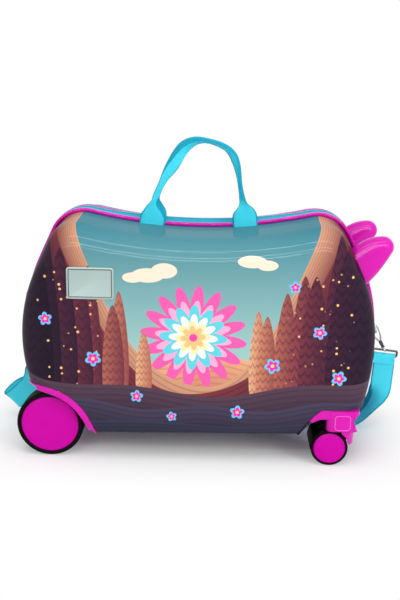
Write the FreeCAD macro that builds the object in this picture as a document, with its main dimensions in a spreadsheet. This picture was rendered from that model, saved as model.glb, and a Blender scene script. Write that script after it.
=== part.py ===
import FreeCAD, Part
import math
import os
import Sketcher
from FreeCAD import Placement, Rotation, Vector

# Ride-on suitcase for a child: two hard half shells that part at the middle, rear wheels under
# arches, swivel casters in the front corners, two grips on the front slope and a webbing handle.
# +X is the front, +Z is up and the floor is z = 0. The near half lies on the -Y side and the far
# half mirrors it. Lengths are millimetres, and "out" is a distance from the middle plane.

os.makedirs("parts", exist_ok=True)
doc = FreeCAD.newDocument("RideOnSuitcase")
sheet = doc.addObject("Spreadsheet::Sheet", "Sizes")

SIZES = {
    # Half shell: the outline of its side and its wall
    "hull_half_length": 225.8,
    "hull_half_depth": 104.0,
    "hull_wall": 2.5,
    "hull_edge_radius": 30.0,
    "hull_draft": 3.8,
    "shell_edge_out": 16.0,
    "side_radius": 208.8,
    "side_height": 155.0,
    "slope_lean": 25.27,
    "peak_height": 306.0,
    "peak_radius": 42.0,
    "saddle_height": 289.5,
    "corner_radius": 59.5,
    "belly_rear_height": 23.5,
    "belly_front_height": 30.0,
    # Rim trim, zip and hinge strip along the parting line
    "rim_inner_out": 13.0,
    "rim_outer_out": 21.0,
    "rim_proud": 4.6,
    "rim_lap": 3.5,
    "rim_bevel": 1.4,
    "tape_low": 2.0,
    "tape_thickness": 2.0,
    "tooth_height": 1.4,
    "tooth_width": 2.4,
    "seam_clearance": 0.2,
    "zip_end_height": 62.0,
    # Rear wheel, its axle and its arch
    "rear_wheel_stand": 39.2,
    "rear_wheel_radius": 42.5,
    "rear_wheel_width": 30.0,
    "rear_wheel_face_out": 94.0,
    "rear_disc_radius": 37.3,
    "rear_axle_radius": 5.0,
    "arch_stand": 56.2,
    "arch_height": 21.0,
    "arch_radius": 77.5,
    "arch_lip": 7.5,
    "arch_lip_depth": 7.0,
    "well_wall": 2.5,
    "rear_well_out": 52.0,
    "axle_boss_radius": 10.0,
    # Front corner bracket and the well above the caster
    "trim_proud": 1.5,
    "bracket_skin": 3.0,
    "front_well_out": 33.5,
    "front_well_x": 129.0,
    "front_well_rise_x": 139.5,
    "front_well_rise_height": 57.0,
    "bracket_top_x": 158.0,
    "bracket_top_height": 75.5,
    "bracket_ceiling": 64.0,
    "block_tail": 14.0,
    "block_nose_wall": 2.5,
    "block_bottom": 48.5,
    "block_inner_wall": 4.5,
    "block_outer_wall": 3.5,
    "block_round": 8.0,
    "emboss_x": 183.5,
    "emboss_height": 60.5,
    "emboss_size": 19.0,
    "emboss_proud": 1.0,
    # Caster: stem, fork and twin wheels
    "stem_x": 178.0,
    "stem_out": 79.0,
    "stem_radius": 5.0,
    "socket_radius": 24.5,
    "caster_wheel_x": 169.5,
    "caster_wheel_radius": 23.4,
    "caster_wheel_width": 14.0,
    "caster_disc_radius": 20.3,
    "caster_axle_radius": 3.0,
    "fork_web": 16.6,
    "guard_gap": 1.3,
    "guard_wall": 1.7,
    "guard_low": 22.0,
    "fork_top": 47.0,
    "crown_radius": 24.0,
    "crown_bottom": 27.0,
    # Grip horns on the front slope
    "horn_out": 62.0,
    "horn_thickness": 26.0,
    "horn_round": 8.5,
    "horn_stand": 32.3,
    "horn_rise": 20.0,
    "horn_sink": 11.2,
    "horn_tip_radius": 13.0,
    "horn_back_radius": 50.0,
    "horn_back_sweep": 46.0,
    "horn_lower_lean": 37.0,
    # Carry handle of webbing
    "handle_rear_x": -64.0,
    "handle_front_x": 58.0,
    "handle_rise": 97.0,
    "handle_fold_rise": 13.0,
    "handle_patch_width": 31.0,
    "handle_patch_length": 15.5,
    "handle_foot_height": 20.0,
    "handle_neck": 10.0,
    "handle_grip": 15.0,
    "webbing_thickness": 3.0,
    # Zip sliders, tow ring, snap hook and strap
    "slider_turn": 9.0,
    "slider_length": 11.0,
    "slider_width": 9.0,
    "slider_plate": 2.2,
    "pull_length": 26.0,
    "pull_width": 7.0,
    "pull_thickness": 1.6,
    "tow_ring_out": 33.0,
    "front_ring_height": 158.0,
    "rear_ring_height": 122.0,
    "tow_ring_width": 32.0,
    "tow_ring_drop": 16.0,
    "tow_ring_lean": 20.0,
    "ring_wire": 3.6,
    "tab_width": 22.0,
    "tab_length": 24.0,
    "tab_stand": 8.5,
    "hook_plate": 5.0,
    "hook_stem": 8.0,
    "strap_ring_x": 256.0,
    "strap_ring_height": 113.0,
    "strap_ring_wire": 3.0,
    "strap_ring_drop": 11.0,
    "strap_width": 29.0,
    "strap_thickness": 2.2,
    "packing_strap_width": 25.0,
    "packing_strap_length": 190.0,
    "packing_strap_spread": 62.0,
    "packing_strap_thickness": 1.4,
    "buckle_height": 40.0,
    "buckle_depth": 7.0,
    "buckle_margin": 3.0,
    "buckle_slot_margin": 4.0,
    "buckle_slot_low": 6.0,
    "buckle_slot_high": 13.0,
    # Running and seating clearances
    "running_fit": 0.05,
    "seat_gap": 0.2,
}

# Places that follow from the sizes above
DERIVED = {
    "corner_reach": "side_radius - corner_radius",
    "corner_drop": "side_height - belly_rear_height - corner_radius",
    "side_x": "hull_half_length - side_radius",
    "rear_corner_x": "0 - side_x - sqrt(corner_reach ^ 2 - corner_drop ^ 2)",
    "rear_wheel_x": "rear_corner_x - rear_wheel_stand",
    "arch_x": "rear_corner_x - arch_stand",
    "handle_fold_height": "saddle_height + handle_fold_rise",
    "handle_patch_bottom": "handle_fold_height - handle_patch_length",
    "packing_height": "( belly_rear_height + saddle_height ) / 2",
}

for row, (name, value) in enumerate((SIZES | DERIVED).items(), start=1):
    sheet.set(f"A{row}", name)
    sheet.set(f"B{row}", f"={value}" if name in DERIVED else str(value))
    sheet.setAlias(f"B{row}", name)
doc.recompute()


def size(name):
    """One driving dimension, read from the sheet."""
    return float(sheet.get(name))


def cells(formula):
    """Write a formula of plain size names as one that the document understands."""
    words = []
    for word in formula.replace("(", "( ").replace(")", " )").split():
        words.append(f"Sizes.{word}" if word in SIZES or word in DERIVED else word)
    return " ".join(words)


def number(formula):
    """The present value of a formula of size names."""
    return float(sheet.evalExpression(cells(formula)))


# Bodies, sketches and booleans

XZ, XY = "XZ_Plane", "XY_Plane"
parts = []


def keep(obj, label):
    """Name an object as a finished sub-part."""
    obj.Label = label
    parts.append(obj)
    return obj


def new_body(name):
    return doc.addObject("PartDesign::Body", name)


def new_sketch(body, name, role, offset):
    """A sketch on one of the body's own planes, lifted along the plane's normal by a formula."""
    sketch = body.newObject("Sketcher::SketchObject", name)
    plane = next(f for f in body.Origin.OriginFeatures if f.Role == role)
    sketch.AttachmentSupport = [(plane, "")]
    sketch.MapMode = "FlatFace"
    sketch.setExpression("AttachmentOffset.Base.z", cells(offset))
    return sketch


def add_pad(body, name, curves, out_from, out_to, draft=None):
    """Pad side-view curves between two distances out from the middle plane, on the near side."""
    sketch = new_sketch(body, f"{name}_sketch", XZ, out_from)
    sketch.addGeometry(curves, False)
    pad = body.newObject("PartDesign::Pad", f"{name}_pad")
    pad.Profile = sketch
    pad.setExpression("Length", cells(f"( {out_to} ) - ( {out_from} )"))
    if draft:
        pad.setExpression("TaperAngle", cells(f"0 - {draft}"))
    return pad


def prism(name, curves, out_from, out_to):
    body = new_body(name)
    add_pad(body, name, curves, out_from, out_to)
    doc.recompute()
    return body


def turned(name, profile, place):
    """A turned piece about an upright or cross axis: profile points are (radius, along) formulas.

    Every point is held by two dimensions that follow the sheet.
    """
    axis, formulas = place
    body = new_body(name)
    sketch = new_sketch(body, f"{name}_sketch", XY if axis == "Y" else XZ, "0")
    points = [Vector(number(r), number(a), 0) for r, a in profile]
    for start, end in zip(points, points[1:] + points[:1]):
        sketch.addGeometry(Part.LineSegment(start, end), False)
    last = len(points) - 1
    for i, (r, a) in enumerate(profile):
        sketch.addConstraint(Sketcher.Constraint("Coincident", i, 1, i - 1 if i else last, 2))
        for kind, formula, value in (("DistanceX", r, points[i].x), ("DistanceY", a, points[i].y)):
            held = sketch.addConstraint(Sketcher.Constraint(kind, i, 1, value))
            sketch.setExpression(f"Constraints[{held}]", cells(formula))
    spin = body.newObject("PartDesign::Revolution", f"{name}_turn")
    spin.Profile = sketch
    spin.ReferenceAxis = (sketch, ["V_Axis"])
    spin.Angle = 360.0
    for key, formula in formulas.items():
        body.setExpression(f"Placement.Base.{key}", cells(formula))
    doc.recompute()
    return body


def boolean(kind, name, base, tool):
    obj = doc.addObject(f"Part::{kind}", name)
    obj.Base = base
    obj.Tool = tool
    doc.recompute()
    return obj


def cut(name, base, *tools):
    for i, tool in enumerate(tools):
        base = boolean("Cut", name if tool is tools[-1] else f"{name}_cut{i}", base, tool)
    return base


def common(name, base, tool):
    return boolean("Common", name, base, tool)


def fuse(name, *pieces):
    obj = doc.addObject("Part::MultiFuse", name)
    obj.Shapes = list(pieces)
    doc.recompute()
    return obj


def cylinder(name, axis, radius, start, length, at):
    """A cylinder along Y (outwards on the near side) or along Z, from a start along its axis."""
    obj = doc.addObject("Part::Cylinder", name)
    obj.setExpression("Radius", cells(radius))
    obj.setExpression("Height", cells(length))
    base = dict(at)
    if axis == "Y":
        obj.Placement = Placement(Vector(), Rotation(Vector(1, 0, 0), 90))
        base["y"] = f"0 - ( {start} )"
    else:
        base["z"] = start
    for key, formula in base.items():
        obj.setExpression(f"Placement.Base.{key}", cells(formula))
    doc.recompute()
    return obj


def box(name, low, high):
    """A box between two corners given as formulas."""
    obj = doc.addObject("Part::Box", name)
    for key, side, lo, hi in zip("xyz", ("Length", "Width", "Height"), low, high):
        obj.setExpression(f"Placement.Base.{key}", cells(lo))
        obj.setExpression(side, cells(f"( {hi} ) - ( {lo} )"))
    doc.recompute()
    return obj


def mirrored(obj, label):
    """The far half's copy of a near piece."""
    twin = doc.addObject("Part::Mirroring", label)
    twin.Source = obj
    twin.Normal = (0, 1, 0)
    doc.recompute()
    return keep(twin, label)


def solid_feature(name, shape, place=None):
    obj = doc.addObject("Part::Feature", name)
    obj.Shape = shape
    obj.Placement = place or Placement()
    return obj


def ease_edges(kind, prop, body, name, chosen, amount):
    """Ease the edges of a body's last feature that pass a test."""
    base = body.Tip
    edges = [f"Edge{i}" for i, e in enumerate(base.Shape.Edges, start=1) if chosen(e)]
    easing = body.newObject(f"PartDesign::{kind}", name)
    easing.Base = (base, edges)
    easing.setExpression(prop, cells(amount))
    doc.recompute()


def round_edges(body, name, chosen, radius):
    ease_edges("Fillet", "Radius", body, name, chosen, radius)


def bevel_edges(body, name, chosen, width):
    ease_edges("Chamfer", "Size", body, name, chosen, width)


def lies_at_out(edge, out):
    """True if an edge lies wholly in the plane at a distance out on the near side."""
    box_ = edge.BoundBox
    return abs(box_.YMin + out) < 1e-4 and abs(box_.YMax + out) < 1e-4


# Side outline of the hull

def polar(centre, radius, angle):
    return Vector(centre[0] + radius * math.cos(angle), centre[1] + radius * math.sin(angle), 0)


def arc(centre, radius, start, end):
    middle = (start + end) / 2
    places = [polar(centre, radius, angle) for angle in (start, middle, end)]
    return Part.Arc(*places)


def angle_to(start, end):
    return math.atan2(end[1] - start[1], end[0] - start[0])


class Outline:
    """Centres and tangent angles of the hull's side outline, from the driving dimensions."""

    def __init__(self):
        self.peak_r = size("peak_radius")
        self.side_r = size("side_radius")
        self.corner_r = size("corner_radius")
        self.side = (size("hull_half_length") - self.side_r, size("side_height"))
        self.slope = math.radians(size("slope_lean"))
        self.slope_normal = polar((0, 0), 1, self.slope)
        self.slope_start = polar(self.side, self.side_r, self.slope)
        peak_z = size("peak_height") - self.peak_r
        slope_reach = self.slope_normal.dot(self.slope_start)
        peak_x = (slope_reach - self.peak_r - self.slope_normal.y * peak_z) / self.slope_normal.x
        self.peak = (peak_x, peak_z)
        rise = size("saddle_height") - peak_z
        spread = self.peak[0] ** 2 + rise**2 - self.peak_r**2
        self.saddle_r = spread / (2 * (self.peak_r - rise))
        self.saddle = (0.0, size("saddle_height") + self.saddle_r)
        self.front = self.corner(size("belly_front_height"))
        rear = self.corner(size("belly_rear_height"))
        self.rear = (-rear[0], rear[1])
        self.belly = angle_to(self.rear, self.front) - math.pi / 2
        self.top = angle_to(self.saddle, self.peak)

    def corner(self, belly):
        centre_z = belly + self.corner_r
        reach = self.side_r - self.corner_r
        return (self.side[0] + math.sqrt(reach**2 - (self.side[1] - centre_z) ** 2), centre_z)

    def curves(self, grow=0.0):
        """The closed outline as tangent lines and arcs, grown outwards by a distance."""
        back_peak = (-self.peak[0], self.peak[1])
        back_side = (-self.side[0], self.side[1])
        corner_r = self.corner_r + grow
        side_r = self.side_r + grow
        peak_r = self.peak_r + grow
        back_slope = math.pi - self.slope
        low_front = angle_to(self.side, self.front)
        low_rear = angle_to(back_side, self.rear) % (2 * math.pi)
        return [
            Part.LineSegment(
                polar(self.rear, corner_r, self.belly), polar(self.front, corner_r, self.belly)
            ),
            arc(self.front, corner_r, self.belly, low_front),
            arc(self.side, side_r, low_front, self.slope),
            Part.LineSegment(
                polar(self.side, side_r, self.slope), polar(self.peak, peak_r, self.slope)
            ),
            arc(self.peak, peak_r, self.slope, self.top + math.pi),
            arc(self.saddle, self.saddle_r - grow, self.top, -math.pi - self.top),
            arc(back_peak, peak_r, -self.top, back_slope),
            Part.LineSegment(
                polar(back_peak, peak_r, back_slope), polar(back_side, side_r, back_slope)
            ),
            arc(back_side, side_r, back_slope, low_rear),
            arc(self.rear, corner_r, low_rear, self.belly + 2 * math.pi),
        ]


outline = Outline()
hinge_drop = size("corner_radius") + size("tape_low") + size("tape_thickness")
hinge_rear = polar(outline.rear, hinge_drop, outline.belly)
hinge_front = polar(outline.front, hinge_drop, outline.belly)
hinge_line = (hinge_front - hinge_rear).normalize()
hinge_middle = hinge_rear.y - hinge_rear.x * hinge_line.y / hinge_line.x
print(f"hinge line at x 0: z {hinge_middle:.2f}, direction {hinge_line.x:.5f}, {hinge_line.y:.5f}")
print(f"peak centre {outline.peak[0]:.2f}, saddle radius {outline.saddle_r:.0f}")


def hull_form(name, grow, bevel=None):
    """The solid half hull grown by a distance, with its outer edge rounded, or else bevelled."""
    body = new_body(name)
    add_pad(body, name, outline.curves(number(grow)), "shell_edge_out", f"hull_half_depth + {grow}",
            draft="hull_draft")
    doc.recompute()
    face = number(f"hull_half_depth + {grow}")
    if bevel:
        bevel_edges(body, f"{name}_bevel", lambda e: lies_at_out(e, face), bevel)
    else:
        round_edges(body, f"{name}_round", lambda e: lies_at_out(e, face), f"hull_edge_radius + {grow}")
    return body


def ring(name, grow_from, grow_to, out_from, out_to):
    """A band that follows the outline between two growths and two distances out."""
    curves = outline.curves(number(grow_to)) + outline.curves(number(grow_from))
    return prism(name, curves, out_from, out_to)


PAST_FACE = "hull_half_depth + 12"
outer_form = hull_form("outer_form", "0")
inner_form = hull_form("inner_form", "0 - hull_wall")
proud_form = hull_form("proud_form", "trim_proud")
skin_form = hull_form("skin_form", "0 - bracket_skin", bevel="hull_edge_radius * 0.6")


# Rear wheel arch

ARCH_AT = {"x": "arch_x", "z": "arch_height"}
WELL_DEPTH = f"{PAST_FACE} - rear_well_out"
arch_opening = cylinder("arch_opening", "Y", "arch_radius + seat_gap", "rear_well_out - well_wall",
                        f"{WELL_DEPTH} + well_wall", ARCH_AT)
arch_block = cylinder("arch_block", "Y", "arch_radius", "rear_well_out - well_wall",
                      f"{WELL_DEPTH} + well_wall", ARCH_AT)
LIP_INNER = "hull_half_depth + trim_proud - arch_lip_depth"
arch_hollow = cylinder("arch_hollow", "Y", "arch_radius - well_wall", "rear_well_out",
                       f"{LIP_INNER} - rear_well_out", ARCH_AT)
arch_mouth = cylinder("arch_mouth", "Y", "arch_radius - arch_lip", LIP_INNER, "arch_lip_depth + 20",
                      ARCH_AT)
REAR_AXLE_AT = {"x": "rear_wheel_x", "z": "rear_wheel_radius"}
REAR_INNER = "rear_wheel_face_out - rear_wheel_width"
BOSS_END = f"{REAR_INNER} - 1"
axle_boss = cylinder("axle_boss", "Y", "axle_boss_radius", "rear_well_out - well_wall",
                     f"{BOSS_END} - rear_well_out + well_wall", REAR_AXLE_AT)
axle_bore = cylinder("axle_bore", "Y", "rear_axle_radius + running_fit", "rear_well_out - well_wall - 1",
                     f"{BOSS_END} - rear_well_out + well_wall + 2", REAR_AXLE_AT)
arch_pan = cut("arch_pan", common("arch_corner", arch_block, proud_form), arch_hollow, arch_mouth)
housing = keep(cut("near_rear_housing", fuse("arch_with_boss", arch_pan, axle_boss), axle_bore),
               "near_rear_housing")
rear_axle = keep(
    cylinder("near_rear_axle", "Y", "rear_axle_radius", "rear_well_out - well_wall",
             "rear_wheel_face_out - 8 - rear_well_out + well_wall", REAR_AXLE_AT),
    "near_rear_axle",
)


# Rear wheel: moulded hub with a closed disc, and a rubber tyre round it

def rear_wheel(side, label):
    """Hub and tyre, with distances along the axle counted outwards on either side."""
    def out(formula):
        return f"{side} * ( {formula} )"

    face = "rear_wheel_face_out"
    seat = "rear_disc_radius"
    bore = "rear_axle_radius + running_fit"
    place = ("Y", {"x": "rear_wheel_x", "z": "rear_wheel_radius"})
    hub = [
        (bore, out(f"{REAR_INNER} + 0.5")),
        (seat, out(f"{REAR_INNER} + 0.5")),
        (seat, out(f"{face} - 1.5")),
        ("0", out(f"{face} + 1.2")),
        ("0", out(f"{face} - 7.5")),
        (bore, out(f"{face} - 7.5")),
    ]
    tyre_seat = f"{seat} + seat_gap"
    tyre = [
        (tyre_seat, out(REAR_INNER)),
        ("rear_wheel_radius - 1.5", out(REAR_INNER)),
        ("rear_wheel_radius", out(f"{REAR_INNER} + 2.5")),
        ("rear_wheel_radius", out(f"{face} - 4")),
        ("rear_wheel_radius - 2", out(f"{face} - 1")),
        (tyre_seat, out(f"{face} - 1")),
    ]
    keep(turned(f"{label}_hub", hub, place), f"{label}_hub")
    keep(turned(f"{label}_tyre", tyre, place), f"{label}_tyre")


rear_wheel(-1, "near_rear_wheel")
rear_wheel(1, "far_rear_wheel")


# Front corner bracket over the caster

FRONT_END = size("hull_half_length") + 30


def front_well(grow, ceiling):
    """Side view of the space over a caster, drawn in from the shell's cut edge by a distance."""
    start = Vector(size("front_well_x") + grow, size("belly_rear_height") - 25, 0)
    foot = Vector(start.x, size("belly_front_height"), 0)
    rise = Vector(size("front_well_rise_x") + grow * 0.8, size("front_well_rise_height") - grow * 0.6, 0)
    top = Vector(size("bracket_top_x"), ceiling, 0)
    corner = Vector(FRONT_END, ceiling, 0)
    last = Vector(FRONT_END, start.y, 0)
    return [
        Part.LineSegment(start, foot),
        Part.Arc(foot, rise, top),
        Part.LineSegment(top, corner),
        Part.LineSegment(corner, last),
        Part.LineSegment(last, start),
    ]


def rounded_rectangle(low, high, radius):
    """A rectangle between two corners, with round corners."""
    x0, y0 = low[0] + radius, low[1] + radius
    x1, y1 = high[0] - radius, high[1] - radius
    quarter = math.pi / 2
    return [
        Part.LineSegment(Vector(x0, low[1], 0), Vector(x1, low[1], 0)),
        arc((x1, y0), radius, -quarter, 0),
        Part.LineSegment(Vector(high[0], y0, 0), Vector(high[0], y1, 0)),
        arc((x1, y1), radius, 0, quarter),
        Part.LineSegment(Vector(x1, high[1], 0), Vector(x0, high[1], 0)),
        arc((x0, y1), radius, quarter, 2 * quarter),
        Part.LineSegment(Vector(low[0], y1, 0), Vector(low[0], y0, 0)),
        arc((x0, y0), radius, 2 * quarter, 3 * quarter),
    ]


BACK_WALL = "front_well_out - well_wall"
front_opening = prism("front_opening", front_well(0, size("bracket_top_height") + size("seat_gap")),
                      BACK_WALL, PAST_FACE)
bracket_block = prism("bracket_block", front_well(size("seat_gap"), size("bracket_top_height")),
                      BACK_WALL, PAST_FACE)
inner_edge = size("seat_gap") + size("well_wall")
well_side = front_well(inner_edge, size("bracket_ceiling"))
well_space = prism("well_space", well_side, "front_well_out", PAST_FACE)
above_ceiling = box("above_ceiling",
                    ("front_well_x", "0 - hull_half_depth - 20", "bracket_ceiling + bracket_skin"),
                    ("hull_half_length + 30", "0 - rim_outer_out", "bracket_top_height + 20"))
above_inside = common("above_inside", above_ceiling, skin_form)
corner_block = common("corner_block", bracket_block, proud_form)
corner_cap = cut("corner_cap", corner_block, well_space, above_inside)

# The block that stands over the swivel, with a shallow raised square on its face
block_body = new_body("swivel_block_body")
block_sketch = new_sketch(block_body, "swivel_block_sketch", XY, "block_bottom")
BLOCK_OUTER = "stem_out + socket_radius + block_outer_wall"
block_inner = number("stem_out - socket_radius - block_inner_wall")
block_low = (number("stem_x - block_tail"), -number(BLOCK_OUTER))
block_high = (number("stem_x + socket_radius + block_nose_wall"), -block_inner)
block_sketch.addGeometry(rounded_rectangle(block_low, block_high, size("block_round")), False)
block_pad = block_body.newObject("PartDesign::Pad", "swivel_block_pad")
block_pad.Profile = block_sketch
block_pad.setExpression("Length", cells("bracket_top_height - block_bottom"))
doc.recompute()
STEM_AT = {"x": "stem_x", "y": "0 - stem_out"}
swivel_bore = cylinder("swivel_bore", "Z", "socket_radius + seat_gap", "block_bottom - 1",
                       "bracket_ceiling - block_bottom + 1", STEM_AT)
half_emboss = size("emboss_size") / 2
emboss_low = (size("emboss_x") - half_emboss, size("emboss_height") - half_emboss)
emboss_high = (size("emboss_x") + half_emboss, size("emboss_height") + half_emboss)
emboss = prism("emboss", rounded_rectangle(emboss_low, emboss_high, half_emboss * 0.4),
               f"{BLOCK_OUTER} - emboss_proud", f"{BLOCK_OUTER} + emboss_proud")
swivel_block = cut("swivel_block", fuse("embossed_block", block_body, emboss), swivel_bore)
block_outside = cut("block_outside", swivel_block, above_inside)
bracket = keep(fuse("near_front_bracket", corner_cap, block_outside), "near_front_bracket")


# Caster: fixed socket, swivelling fork, twin wheels

CASTER_AT = {"x": "caster_wheel_x", "z": "caster_wheel_radius"}
SOCKET_TOP = "bracket_ceiling - seat_gap"
socket_profile = [
    ("stem_radius + running_fit", "fork_top + 1"),
    ("socket_radius", "fork_top + 1"),
    ("socket_radius - 3", "fork_top + 8"),
    ("socket_radius - 13", SOCKET_TOP),
    ("stem_radius + running_fit", SOCKET_TOP),
]
socket = keep(turned("near_caster_socket", socket_profile, ("Z", STEM_AT)), "near_caster_socket")

WEB_FROM = "stem_out - fork_web / 2"
WEB_TO = "stem_out + fork_web / 2"
WHEEL_GAP = "( fork_web / 2 + 0.7 )"


def fork_side():
    """Side view of the fork's middle web, round the axle and up to the stem."""
    axle = (size("caster_wheel_x"), size("caster_wheel_radius"))
    boss = size("caster_axle_radius") + 6
    top = size("fork_top")
    low = polar(axle, boss, math.radians(-60))
    back = polar(axle, boss, math.radians(170))
    shoulder = Vector(axle[0] - 14, top, 0)
    nose_top = Vector(size("stem_x") + 18, top, 0)
    nose_low = Vector(nose_top.x, size("crown_bottom") + 6, 0)
    return [
        arc(axle, boss, math.radians(170), math.radians(300)),
        Part.LineSegment(low, nose_low),
        Part.LineSegment(nose_low, nose_top),
        Part.LineSegment(nose_top, shoulder),
        Part.LineSegment(shoulder, back),
    ]


web = prism("fork_web_body", fork_side(), WEB_FROM, WEB_TO)
GUARD_INNER = "caster_wheel_radius + guard_gap"
CASTER_HALF = f"( {WHEEL_GAP} + caster_wheel_width )"
guard_outside = cylinder("guard_outside", "Y", f"{GUARD_INNER} + guard_wall", f"stem_out - {CASTER_HALF}",
                         f"2 * ( {CASTER_HALF} )", CASTER_AT)
guard_inside = cylinder("guard_inside", "Y", GUARD_INNER, f"stem_out - {CASTER_HALF} - 1",
                        f"2 * ( {CASTER_HALF} ) + 2", CASTER_AT)
guard_reach = box("guard_reach",
                  ("caster_wheel_x - caster_wheel_radius - 10", "0 - stem_out - 40", "guard_low"),
                  ("caster_wheel_x + 6", "0 - stem_out + 40", "fork_top"))
guard = common("guard", cut("guard_tube", guard_outside, guard_inside), guard_reach)
stem_hole = cylinder("stem_hole", "Z", "stem_radius + running_fit", "crown_bottom + 3", "40", STEM_AT)
caster_bore = cylinder("caster_bore", "Y", "caster_axle_radius + running_fit", "stem_out - 40", "80",
                       CASTER_AT)
fork_whole = fuse("fork_whole", web, guard)
fork = keep(cut("near_caster_fork", fork_whole, stem_hole, caster_bore), "near_caster_fork")
stem = keep(
    cylinder("near_caster_stem", "Z", "stem_radius", "crown_bottom + 3",
             "bracket_ceiling - crown_bottom - 4", STEM_AT),
    "near_caster_stem",
)
crown_block = cylinder("crown_block", "Z", "crown_radius", "crown_bottom",
                       "fork_top - crown_bottom - 0.5", STEM_AT)
crown_relief = cylinder("crown_relief", "Y", GUARD_INNER, "stem_out - 40", "80", CASTER_AT)
web_relief = box("web_relief",
                 ("stem_x - 30", "0 - stem_out - fork_web / 2 - seat_gap", "0"),
                 ("stem_x + 18 + seat_gap", "0 - stem_out + fork_web / 2 + seat_gap", "fork_top + 10"))
crown_back = box("crown_back", ("stem_x - 40", "0 - stem_out - 40", "0"),
                 ("stem_x + 6", "0 - stem_out + 40", "fork_top + 10"))
crown_cut = cut("near_caster_crown", crown_block, crown_relief, web_relief, crown_back)
crown = keep(crown_cut, "near_caster_crown")
caster_axle = keep(
    cylinder("near_caster_axle", "Y", "caster_axle_radius", f"stem_out - {CASTER_HALF} + 3",
             f"2 * ( {CASTER_HALF} ) - 6", CASTER_AT),
    "near_caster_axle",
)


def caster_wheel(side, facing, label):
    """One of the twin wheels: side picks the half, facing picks the outer or inner wheel."""
    def out(along):
        return f"{side} * ( stem_out + {facing} * ( {WHEEL_GAP} + {along} ) )"

    bore = "caster_axle_radius + running_fit"
    seat = "caster_disc_radius"
    place = ("Y", {"x": "caster_wheel_x", "z": "caster_wheel_radius"})
    hub = [
        (bore, out("0")),
        (seat, out("0")),
        (seat, out("caster_wheel_width - 0.8")),
        ("0", out("caster_wheel_width + 0.6")),
        ("0", out("caster_wheel_width - 2.6")),
        (bore, out("caster_wheel_width - 2.6")),
    ]
    tyre = [
        (f"{seat} + seat_gap", out("0.4")),
        ("caster_wheel_radius", out("0.4")),
        ("caster_wheel_radius", out("caster_wheel_width - 1.8")),
        ("caster_wheel_radius - 1.3", out("caster_wheel_width - 0.6")),
        (f"{seat} + seat_gap", out("caster_wheel_width - 0.6")),
    ]
    keep(turned(f"{label}_hub", hub, place), f"{label}_hub")
    keep(turned(f"{label}_tyre", tyre, place), f"{label}_tyre")


for half, side in (("near", -1), ("far", 1)):
    caster_wheel(side, 1, f"{half}_caster_outer_wheel")
    caster_wheel(side, -1, f"{half}_caster_inner_wheel")


# Half shell with its cut corners

shell = keep(cut("near_shell", outer_form, inner_form, arch_opening, front_opening), "near_shell")


# Rim trim, zip tape and hinge strip

rim_body = ring("near_rim", "seat_gap / 2", "rim_proud", "rim_inner_out", "rim_outer_out")
add_pad(rim_body, "rim_lap", outline.curves(size("seat_gap")) + outline.curves(-size("rim_lap")),
        "rim_inner_out", "shell_edge_out - seat_gap")
doc.recompute()


def rim_corner(edge):
    """True for the rim's two outermost edges."""
    at_face = lies_at_out(edge, size("rim_inner_out")) or lies_at_out(edge, size("rim_outer_out"))
    point = edge.valueAt((edge.FirstParameter + edge.LastParameter) / 2)
    probe = Part.Vertex(Vector(point.x, 0, point.z))
    wire = Part.Wire([c.toShape() for c in outline.curves(size("rim_proud"))])
    wire.rotate(Vector(), Vector(1, 0, 0), 90)
    return at_face and wire.distToShape(probe)[0] < 1e-3


bevel_edges(rim_body, "rim_edge_bevel", rim_corner, "rim_bevel")
rim = keep(rim_body, "near_rim")

TAPE_TOP = "tape_low + tape_thickness"
band = ring("tape_band", "tape_low", TAPE_TOP, "seam_clearance", "rim_inner_out - seat_gap")
add_pad(band, "teeth", outline.curves(number(f"{TAPE_TOP} + tooth_height"))
        + outline.curves(number("tape_low + 0.5")), "seam_clearance", "seam_clearance + tooth_width")
doc.recompute()
WIDE = "hull_half_length + 40"
zip_zone = box("zip_zone", (f"0 - ( {WIDE} )", "0 - rim_outer_out", "zip_end_height"),
               (WIDE, "0", "peak_height + 40"))
tape = keep(common("near_zip_tape", band, zip_zone), "near_zip_tape")
strip_band = ring("strip_band", "tape_low", TAPE_TOP, "seam_clearance", "rim_inner_out - seat_gap")
hinge_zone = box("hinge_zone", (f"0 - ( {WIDE} )", "0 - rim_outer_out", "0"),
                 (WIDE, "0", "zip_end_height - 1"))
hinge_strip = keep(common("near_hinge_strip", strip_band, hinge_zone), "near_hinge_strip")


# Grip horn: a petal that seats on the front slope

def horn_side():
    """Side view of the horn, running on to a line inside the hull, which then trims it."""
    tip_r = size("horn_tip_radius")
    back_r = size("horn_back_radius")
    normal = outline.slope_normal
    up_slope = Vector(-normal.y, normal.x, 0)
    tip = outline.slope_start + up_slope * size("horn_rise") + normal * size("horn_stand")
    back = tip + Vector(0, tip_r - back_r, 0)
    quarter = math.pi / 2
    start = quarter + math.radians(size("horn_back_sweep"))
    lean = -math.radians(size("horn_lower_lean"))

    def run_in(point, way):
        """Where a line from a point along a way meets the line inside the hull."""
        depth = normal.dot(point - outline.slope_start) + size("horn_sink")
        return point - way * (depth / normal.dot(way))

    leave_low = polar(tip, tip_r, lean)
    leave_top = polar(back, back_r, start)
    root_low = run_in(leave_low, Vector(math.sin(lean), -math.cos(lean), 0))
    root_top = run_in(leave_top, Vector(-math.sin(start), math.cos(start), 0))
    return [
        arc(back, back_r, start, quarter),
        arc(tip, tip_r, quarter, lean),
        Part.LineSegment(leave_low, root_low),
        Part.LineSegment(root_low, root_top),
        Part.LineSegment(root_top, leave_top),
    ]


horn_body = prism("horn_body", horn_side(), "horn_out - horn_thickness / 2",
                  "horn_out + horn_thickness / 2")
horn_faces = [number("horn_out - horn_thickness / 2"), number("horn_out + horn_thickness / 2")]
horn_root = horn_side()[3]


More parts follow.
